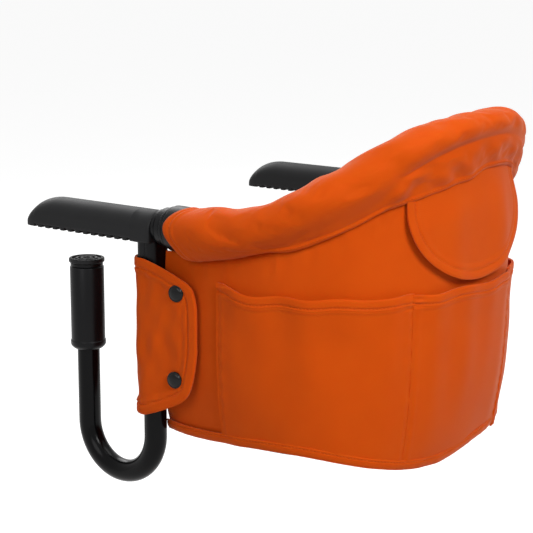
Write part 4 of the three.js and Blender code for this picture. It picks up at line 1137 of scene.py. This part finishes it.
def hook_sleeve(name, side):
    """Stitched cloth sleeve with its two snaps, the cloth pressed in round each snap."""
    edge = sleeve_edge()
    tail_y, tail_run = SLEEVE_ROUTE[-TAIL_POINTS:, 1], SLEEVE_RUN[-TAIL_POINTS:]
    snaps = {at: (np.interp(y, tail_y, tail_run), z) for at, (y, z) in SNAPS.items()}
    def lift_at(run, z):
        inset = edge_distance(points(run, z), edge)
        from_snap = np.min([np.hypot(run - at, z - height) for at, height in snaps.values()], axis=0)
        dimple = 0.9 * bell(from_snap - 9, 3) - 1.3 * smooth((12 - from_snap) / 5)
        broad = 0.7 * creases(run, z, 81, 48) * smooth(inset / 20)
        fine = 0.5 * creases(run, z, 83, 21) * smooth((inset - 8) / 12)
        puckers = 0.35 * creases(run, z, 85, 11) * bell(inset - SLEEVE_HEM, 4)
        return hem_relief(inset, SLEEVE_HEM, 1.7) + 0.4 * dimple + (broad + fine) + puckers
    def place(across, up):
        run = SLEEVE_RUN[-1] * (1 - (1 - across) ** 1.6)
        low, top = sleeve_extent(run)
        share = (1 - np.cos(pi * up)) / 2
        z = lerp(low, top, lerp(up, share, 0.75))
        return sleeve_spot(run, z, lift_at(run, z))
    piece = cloth(f"sleeve_{name}", 84, 76, place, canvas, side, SLEEVE_CLOTH)
    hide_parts(f"hook_sleeve_{name}")
    inset = SLEEVE_HEM - STITCH_IN
    ahead = unit(np.gradient(edge, axis=0))
    line = edge + points(-ahead[:, 1], ahead[:, 0]) * -inset
    keep = (line[:, 0] < SLEEVE_RUN[-1] - inset + 0.5) & (line[:, 0] > 1)
    run, z = line[keep & (edge_distance(line, edge) > inset - 0.4)].T
    spots = sleeve_spot(run, z, lift_at(run, z) + 0.3)
    outs = unit(sleeve_spot(run, z, np.full(len(run), 3.0)) - sleeve_spot(run, z, np.zeros(len(run))))
    stitches = stitched(f"sleeve_stitches_{name}", [(spots, outs)], side)
    for soft in (piece, stitches):
        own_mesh(soft)
    for at, (run, z) in snaps.items():
        foot, above = sleeve_spot(np.full(2, run), np.full(2, float(z)), np.array([0.2, 1.2]))
        snap_cap(f"{at}_{name}", side, foot, above - foot)


# Clamps

def on_arm():
    """Places a spun outline on the arm's axis, so that its height runs along +Y."""
    return Matrix.Translation(Vector((ARM_X, 0, ARM_Z)) * MM) @ Matrix.Rotation(-pi / 2, 4, "X")


def on_spindle():
    """Places a spun outline on the clamp spindle's axis, its heights measured from the table's top."""
    return Matrix.Translation(Vector((ARM_X, -HOOK_SPACING, 0)) * MM)


def boot_section():
    """Section of the boot: flat sole, rounded lower corners, upright sides and a round top."""
    low = BOOT_HALF - BOOT_CORNER
    corner = [(low + BOOT_CORNER * sin(turn), BOOT_CORNER * (1 - cos(turn)))
              for turn in np.linspace(0, pi / 2, 7)]
    spring = BOOT_HEIGHT - BOOT_HALF
    crown = [(BOOT_HALF * cos(turn), spring + BOOT_HALF * sin(turn)) for turn in np.linspace(0, pi / 2, 25)]
    half = np.array([(0, 0), *corner, *crown])
    return np.concatenate([half, half[::-1] * (-1, 1)])


def boot_nose(y):
    """Share of the nose that lies behind this place, and the half width and height there."""
    into = np.clip((BOOT_REAR - BOOT_LENGTH + NOSE - y) / NOSE, 0, 0.9996)
    half = BOOT_HALF * (1 - into**NOSE_POWER) ** (1 / NOSE_POWER)
    height = NOSE_TIP + (BOOT_HEIGHT - NOSE_TIP) * (1 - into**NOSE_RISE) ** (1 / NOSE_RISE)
    return half, height


def arm_boot(name, side):
    """Boot on the arm: a body with a recess along its sole, and a row of bevelled teeth in it."""
    section = boot_section()
    lengths = distances(section)
    tip = BOOT_REAR - BOOT_LENGTH
    groove_start = FIRST_GROOVE + TOOTH_GAP / 2
    groove_end = FIRST_GROOVE - TEETH * TOOTH_PITCH - TOOTH_GAP / 2
    rear_edge = np.array([0, 0.25, 0.9, 2])
    rear_girths = (0.93, 0.965, 0.99, 1)
    nose_turns = tip + NOSE * (1 - np.sin(np.linspace(0, pi / 2, 26)))
    steps = [groove_start, groove_start - TOOTH_FLANK, groove_end, groove_end - TOOTH_FLANK]
    straight = np.linspace(BOOT_REAR - 6, tip + NOSE, 14)
    stations = np.array(sorted({*(BOOT_REAR - rear_edge), *straight, *steps, *nose_turns}, reverse=True))
    def place(around, length):
        y = stations[np.rint(length * (len(stations) - 1)).astype(int)]
        x = np.interp(around * lengths[-1], lengths, section[:, 0])
        z = np.interp(around * lengths[-1], lengths, section[:, 1])
        half, height = boot_nose(y)
        girth = np.interp(-y, rear_edge - BOOT_REAR, rear_girths)
        sole = TOOTH_DEPTH * ((y < groove_start - 0.1) & (y > groove_end - 0.1))
        x = x * half / BOOT_HALF * girth
        z = sole + z * (height - sole) / BOOT_HEIGHT
        return points(ARM_X + x, y, ARM_Z + (z - ARM_Z) * girth)
    shape = bmesh.new()
    add_surface(shape, 84, len(stations) - 1, place, closed=True)
    foot = TOOTH_PITCH - TOOTH_GAP - 2 * TOOTH_FLANK
    height = TOOTH_DEPTH + 0.8
    for i in range(TEETH):
        y = FIRST_GROOVE - (i + 0.5) * TOOTH_PITCH
        half = float(boot_nose(np.array(y - TOOTH_PITCH / 2))[0]) - 0.3
        size = Matrix.Diagonal((2 * half * MM, foot * MM, height * MM, 1))
        where = Matrix.Translation(Vector((ARM_X, y, height / 2)) * MM)
        tooth = bmesh.ops.create_cube(shape, size=1, matrix=where @ size)["verts"]
        for vert in tooth:
            if vert.co.z > 1 * MM:
                vert.co.y += (TOOTH_FLANK + 0.25) * MM * (1 if vert.co.y > y * MM else -1)
        edges = list({edge for vert in tooth for edge in vert.link_edges})
        bmesh.ops.bevel(shape, geom=edges, offset=0.5 * MM, segments=2, profile=0.5, affect="EDGES",
                        material=-1)
    piece = finished(f"boot_{name}", shape, rubber, f"{name}_clamp", side)
    piece.data.set_sharp_from_angle(angle=radians(50))
    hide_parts(f"arm_boot_{name}")


def hub_housing(name, side):
    """Moulded hub barrel with raised lips, and the neck that takes the hook."""
    shape = bmesh.new()
    edge, groove = 0.9, HUB_BARREL - 0.7
    barrel = [
        (0, HUB_FRONT), (HUB_BARREL - edge, HUB_FRONT), (HUB_BARREL, HUB_FRONT + edge),
        (HUB_BARREL, HUB_FRONT + 4), (groove, HUB_FRONT + 4.6), (groove, HUB_FRONT + 5.6),
        (HUB_LIP, HUB_FRONT + 7), (HUB_LIP, HUB_REAR - edge), (HUB_LIP - edge, HUB_REAR), (0, HUB_REAR),
    ]
    add_spun(shape, barrel, on_arm(), 96)
    corners = []
    middle = (NECK_FRONT + NECK_REAR) / 2
    for turn in np.linspace(0, FULL, 97):
        x = NECK_HALF - NECK_CORNER + NECK_CORNER * abs(cos(turn))
        y = (NECK_REAR - NECK_FRONT) / 2 - NECK_CORNER + NECK_CORNER * abs(sin(turn))
        corners.append((x * np.sign(round(cos(turn), 9)), middle + y * np.sign(round(sin(turn), 9))))
    section = []
    for (x, y), (next_x, next_y) in zip(corners, corners[1:]):
        section.append((x, y))
        if abs(next_y - y) > 4:
            seam = (-1.2, -0.7, 0, 0.7, 1.2) if next_y > y else (1.2, 0.7, 0, -0.7, -1.2)
            section += [(next_x, NECK_SEAM_Y + step) for step in seam]
    section = np.array([*section, corners[-1]])
    lengths = distances(section)
    heights = np.array([NECK_LOW, NECK_LOW + 0.3, NECK_LOW + 1, *np.linspace(NECK_LOW + 4, ARM_Z - 12, 8)])
    def neck(around, up):
        x, y = (np.interp(around * lengths[-1], lengths, section[:, i]) for i in (0, 1))
        row = np.rint(up * (len(heights) - 1)).astype(int)
        seam = 1 - 0.06 * bell(y - NECK_SEAM_Y, 0.55) * (np.abs(x) > NECK_HALF - 1)
        girth = np.interp(row, [0, 1, 2], [0.93, 0.975, 1])
        return points(ARM_X + x * seam * girth, y * girth, heights[row])
    add_surface(shape, 220, len(heights) - 1, neck, closed=True)
    piece = rounded(finished(f"hub_{name}", shape, nylon, f"{name}_clamp", side), 0.5, 40)
    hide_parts(f"hub_housing_{name}")


def hook_tube(name, side):
    """Tube bent into a J: down behind the table's edge, forward under it and up again."""
    bend = HOOK_SPACING / 2
    bend_z = HOOK_LOW + TUBE + bend
    shape = bmesh.new()
    top = Matrix.Translation(Vector((ARM_X, 0, HOOK_TOP)) * MM)
    ring = bmesh.ops.create_circle(shape, segments=48, radius=TUBE * MM, matrix=top)["verts"]
    edges = list({edge for vert in ring for edge in vert.link_edges})
    def new_edges(made):
        return [item for item in made if isinstance(item, bmesh.types.BMEdge)]
    def drawn(edges, z):
        made = bmesh.ops.extrude_edge_only(shape, edges=edges)["geom"]
        verts = [item for item in made if isinstance(item, bmesh.types.BMVert)]
        for vert in verts:
            vert.co.z = z * MM
        return [edge for edge in new_edges(made) if all(end in verts for end in edge.verts)]
    edges = drawn(edges, bend_z)
    made = bmesh.ops.spin(shape, geom=edges, cent=Vector((ARM_X, -bend, bend_z)) * MM, axis=(1, 0, 0),
                          angle=-pi, steps=40, use_merge=False, use_duplicate=False)["geom_last"]
    drawn(new_edges(made), FREE_LEG_TOP)
    bmesh.ops.remove_doubles(shape, verts=shape.verts, dist=0.01 * MM)
    bmesh.ops.holes_fill(shape, edges=[edge for edge in shape.edges if edge.is_boundary], sides=0)
    bmesh.ops.recalc_face_normals(shape, faces=shape.faces)
    piece = rounded(finished(f"hook_{name}", shape, powder_coat, f"{name}_clamp", side), 0.8, 60)
    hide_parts(f"hook_tube_{name}")


def twist_grip(name, side):
    """Grip that screws the pad up, with a raised lower lip and a drawn-in end."""
    top, bottom, radius, bore, wide_bore, step = -35.2, -118, 16.75, 10, 12.5, -75
    outline = [
        (bore, top), (radius - 1.2, top), (radius - 0.35, top - 0.35), (radius, top - 1.2),
        (radius, bottom + 8.6), (radius + 0.7, bottom + 7.9), (radius + 0.7, bottom + 4.2),
        (radius + 0.1, bottom + 2.9), (radius - 1.3, bottom + 1.2), (13.9, bottom),
        (wide_bore, bottom), (wide_bore, step), (bore, step), (bore, top),
    ]
    grip = spun(f"twist_grip_{name}", outline, on_spindle(), nylon, (0.4, 25), f"{name}_grip", side)
    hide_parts(f"grip_sleeve_{name}")


def table_pad(name, side):
    """Pad that meets the table's underside, with two raised rings in its face, and the carrier under it."""
    face, recess, low, radius = -TABLE, -TABLE - 1.6, -TABLE - 4.6, 17.5
    outline = [(0, low), (radius - 0.9, low), (radius, low + 0.9),
               (radius, face - 0.7), (radius - 0.7, face), (14.5, face), (14.1, recess)]
    ring = ((1.6, recess), (1.2, face), (-1.2, face), (-1.6, recess))
    for middle in (9.7, 4.8):
        outline += [(middle + beside, height) for beside, height in ring]
    outline.append((0, recess))
    pad = spun(f"table_pad_{name}", outline, on_spindle(), rubber, (0.3, 30), f"{name}_pad", side)
    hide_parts(f"pressure_pad_{name}")
    top, bore, neck, flange = low - 0.3, 7, 9.7, 16
    outline = [(bore, top), (flange, top), (flange, top - 3), (neck, top - 3), (neck, top - 11),
               (bore, top - 11), (bore, top)]
    carrier = spun(f"pad_seat_{name}", outline, on_spindle(), nylon, (0.5, 30), f"{name}_pad", side)
    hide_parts(f"pad_carrier_{name}")


def rear_collar(name, side):
    """Stepped collar behind the hub, plugged into the rim tube, with a sleeve inside the roll's hood."""
    bore, socket, plug, wall_in = 4.5, 11.3, 9.1, 3
    groove, plug_end = COLLAR_FRONT + 3.7, COLLAR_REAR + 8.4
    outline = [
        (bore, COLLAR_FRONT), (COLLAR_LIP - 1, COLLAR_FRONT), (COLLAR_LIP, COLLAR_FRONT + 1),
        (COLLAR_LIP, COLLAR_FRONT + 3.6), (COLLAR_LIP - 0.8, COLLAR_FRONT + 4.2),
        (COLLAR_LIP - 0.8, COLLAR_FRONT + 5), (COLLAR, COLLAR_FRONT + 5.8), (COLLAR, COLLAR_REAR),
        (COLLAR - 0.4, COLLAR_SLEEVE), (COLLAR - wall_in, COLLAR_SLEEVE), (COLLAR - wall_in, COLLAR_REAR),
        (socket, COLLAR_REAR), (socket, groove), (plug, groove), (plug, plug_end), (bore, plug_end),
        (bore, COLLAR_FRONT),
    ]
    piece = spun(f"collar_{name}", outline, on_arm(), nylon, (0.5, 30), side=side, steps=96)
    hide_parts(f"rear_collar_{name}")


# Harness

def strap(name, route, across, node, side=1):
    """Flat webbing along a curve, with its width in the direction across."""
    samples = np.linspace(0, 1, 200)
    lengths = distances(route(samples))
    across = np.array(across, dtype=float)
    def place(along, up):
        share = np.interp(along * lengths[-1], lengths, samples)
        reach = 0.002
        ahead = unit(route(np.clip(share + reach, 0, 1)) - route(np.clip(share - reach, 0, 1)))
        out = unit(np.cross(ahead, across))
        edge = np.abs(up * 2 - 1)
        half = STRAP_CLOTH / 2 * (1 - 0.35 * smooth((edge - 0.86) / 0.14))
        return route(share) + across * ((up - 0.5) * STRAP_WIDTH)[:, None] + out * half[:, None]
    piece = cloth(name, 60, 14, place, webbing, side, STRAP_CLOTH)
    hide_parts(node)
    return piece


def bezier(*knots):
    """A curve drawn by its knots, as a function of its share."""
    knots = [np.array(knot, dtype=float) for knot in knots]
    def route(share):
        level = [np.broadcast_to(knot, (len(share), 3)) for knot in knots]
        while len(level) > 1:
            level = [lerp(a, b, share[:, None]) for a, b in zip(level, level[1:])]
        return level[0]
    return route


def harness():
    """Buckle with its button and tongues, a waist strap to each side of the seat and a crotch strap."""
    start = BUCKLE_HALF + 0.3 + TONGUE_PLATE + 0.3
    anchor_x, anchor_y, anchor_z = HEM_HALF - 19, 150, -128
    for name, side in SIDES.items():
        route = bezier((start, BUCKLE_Y, BUCKLE_Z), (anchor_x - 34, BUCKLE_Y, BUCKLE_Z),
                       (anchor_x, anchor_y, anchor_z))
        piece = strap(f"waist_webbing_{name}", route, (0, 0, 1), f"waist_strap_{name}", side)
        refined(f"tongue_{name}", f"buckle_tongue_{name}", nylon, 0.7)
    y = SEAT_FRONT + 3 + STRAP_CLOTH / 2 + 0.3
    under = BUCKLE_Z - BUCKLE_HALF_HEIGHT
    route = bezier((0, y, BOARD_FRONT_Z + 25), (0, y, under), (0, y + STRAP_CLOTH / 2, under - 18),
                   (0, BUCKLE_Y, under - STRAP_CLOTH))
    piece = strap("crotch_webbing", route, (1, 0, 0), "crotch_strap")
    refined("buckle", "buckle_body", nylon, 1.1)
    refined("release_button", "buckle_button", nylon, 0.4, "buckle_button")


def hidden_pieces():
    """Gives their materials to the CAD pieces that stay as they are, inside the others."""
    finishes = {
        powder_coat: ["rim_tube", "arm_tube_left", "arm_tube_right"],
        nylon: ["tube_insert_left", "tube_insert_right"],
        zinc: [f"{stem}_{side}" for side in SIDES for stem in
               ("collar_rivet", "neck_pin", "pivot_pin", "clamp_spindle", "grip_nut")],
        polypropylene: ["base_board"],
    }
    for material, names in finishes.items():
        for name in names:
            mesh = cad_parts[name].data
            mesh.materials.clear()
            mesh.materials.append(material)


# Stage

def seen_rays(owner):
    """1 for rays of the camera and of glosses and 0 for others, and the node's flags for each kind."""
    rays = add_node(owner, "ShaderNodeLightPath")
    kinds = {0: rays["Is Camera Ray"], 1: rays["Is Glossy Ray"]}
    return add_node(owner, "ShaderNodeMath", kinds, operation="MAXIMUM")[0], rays


def pale_floor():
    """Pale floor that shows white to the camera yet keeps the shadow."""
    shape = bmesh.new()
    size, drop = 40, 100
    where = Matrix.Translation((0, 0, (HOOK_LOW - drop) * MM))
    bmesh.ops.create_grid(shape, x_segments=1, y_segments=1, size=size, matrix=where)
    mesh = bpy.data.meshes.new("floor")
    shape.to_mesh(mesh)
    shape.free()
    placed("floor", mesh)
    paint, shader = new_material("pale_floor_paint", "#B4B4B4", 0.9, Specular_IOR_Level=0.0)
    seen, rays = seen_rays(paint)
    seen = add_node(paint, "ShaderNodeMath", {0: seen, 1: rays["Is Transmission Ray"]}, operation="MAXIMUM")
    shader["Emission Color"].default_value = linear("#FFFFFF")
    glow = add_node(paint, "ShaderNodeMath", {0: seen[0], 1: 0.86}, operation="MULTIPLY")
    link(paint, glow[0], shader["Emission Strength"])
    mesh.materials.append(paint)


def studio():
    """White surroundings, dimmer as a light than they look, and four soft lamps."""
    world = bpy.data.worlds.new("studio")
    bpy.context.scene.world = world
    world.use_nodes = True
    background = world.node_tree.nodes["Background"]
    seen, _ = seen_rays(world)
    strength = add_node(world, "ShaderNodeMapRange", {"Value": seen, "To Min": 0.2, "To Max": 1.0})
    world.node_tree.links.new(strength["Result"], background.inputs["Strength"])
    background.inputs["Color"].default_value = linear("#FFFFFF")
    lamps = {
        "key": ((0.5, 1.9, 1.4), 1.0, 40),
        "top": ((-0.2, 0.2, 1.9), 1.4, 14),
        "side": ((1.9, 0.3, 0.8), 1.2, 10),
        "front": ((-0.8, -1.7, 1.1), 1.3, 16),
    }
    target = Vector((0, 0.08, -0.05))
    for name, (place, size, power) in lamps.items():
        light = bpy.data.lights.new(name, "AREA")
        light.shape = "DISK"
        light.size = size
        light.energy = power
        lamp = placed(name, light)
        lamp.location = place
        lamp.rotation_euler = (target - Vector(place)).to_track_quat("-Z", "Y").to_euler()


def photo_view():
    """The camera as fitted to the photo."""
    camera = bpy.data.cameras.new("camera")
    camera.sensor_width = 36
    camera.lens = 108.1
    camera.clip_end = 200
    viewer = placed("camera", camera)
    viewer.location = (1.26133, 1.02555, 0.27095)
    down, azimuth = 11.23, 129.18
    viewer.rotation_euler = (radians(90 - down), 0, radians(azimuth))
    bpy.context.scene.camera = viewer
    bpy.context.scene.view_settings.view_transform = "Standard"


padded_rim()
seat_wall()
pockets()
pocket_flap()
base_binding()
base_cloth()
seat_cushion()
front_panel()
for side_name, side_sign in SIDES.items():
    hook_sleeve(side_name, side_sign)
    arm_boot(side_name, side_sign)
    hub_housing(side_name, side_sign)
    hook_tube(side_name, side_sign)
    twist_grip(side_name, side_sign)
    table_pad(side_name, side_sign)
    rear_collar(side_name, side_sign)
harness()
hidden_pieces()
pale_floor()
studio()
photo_view()
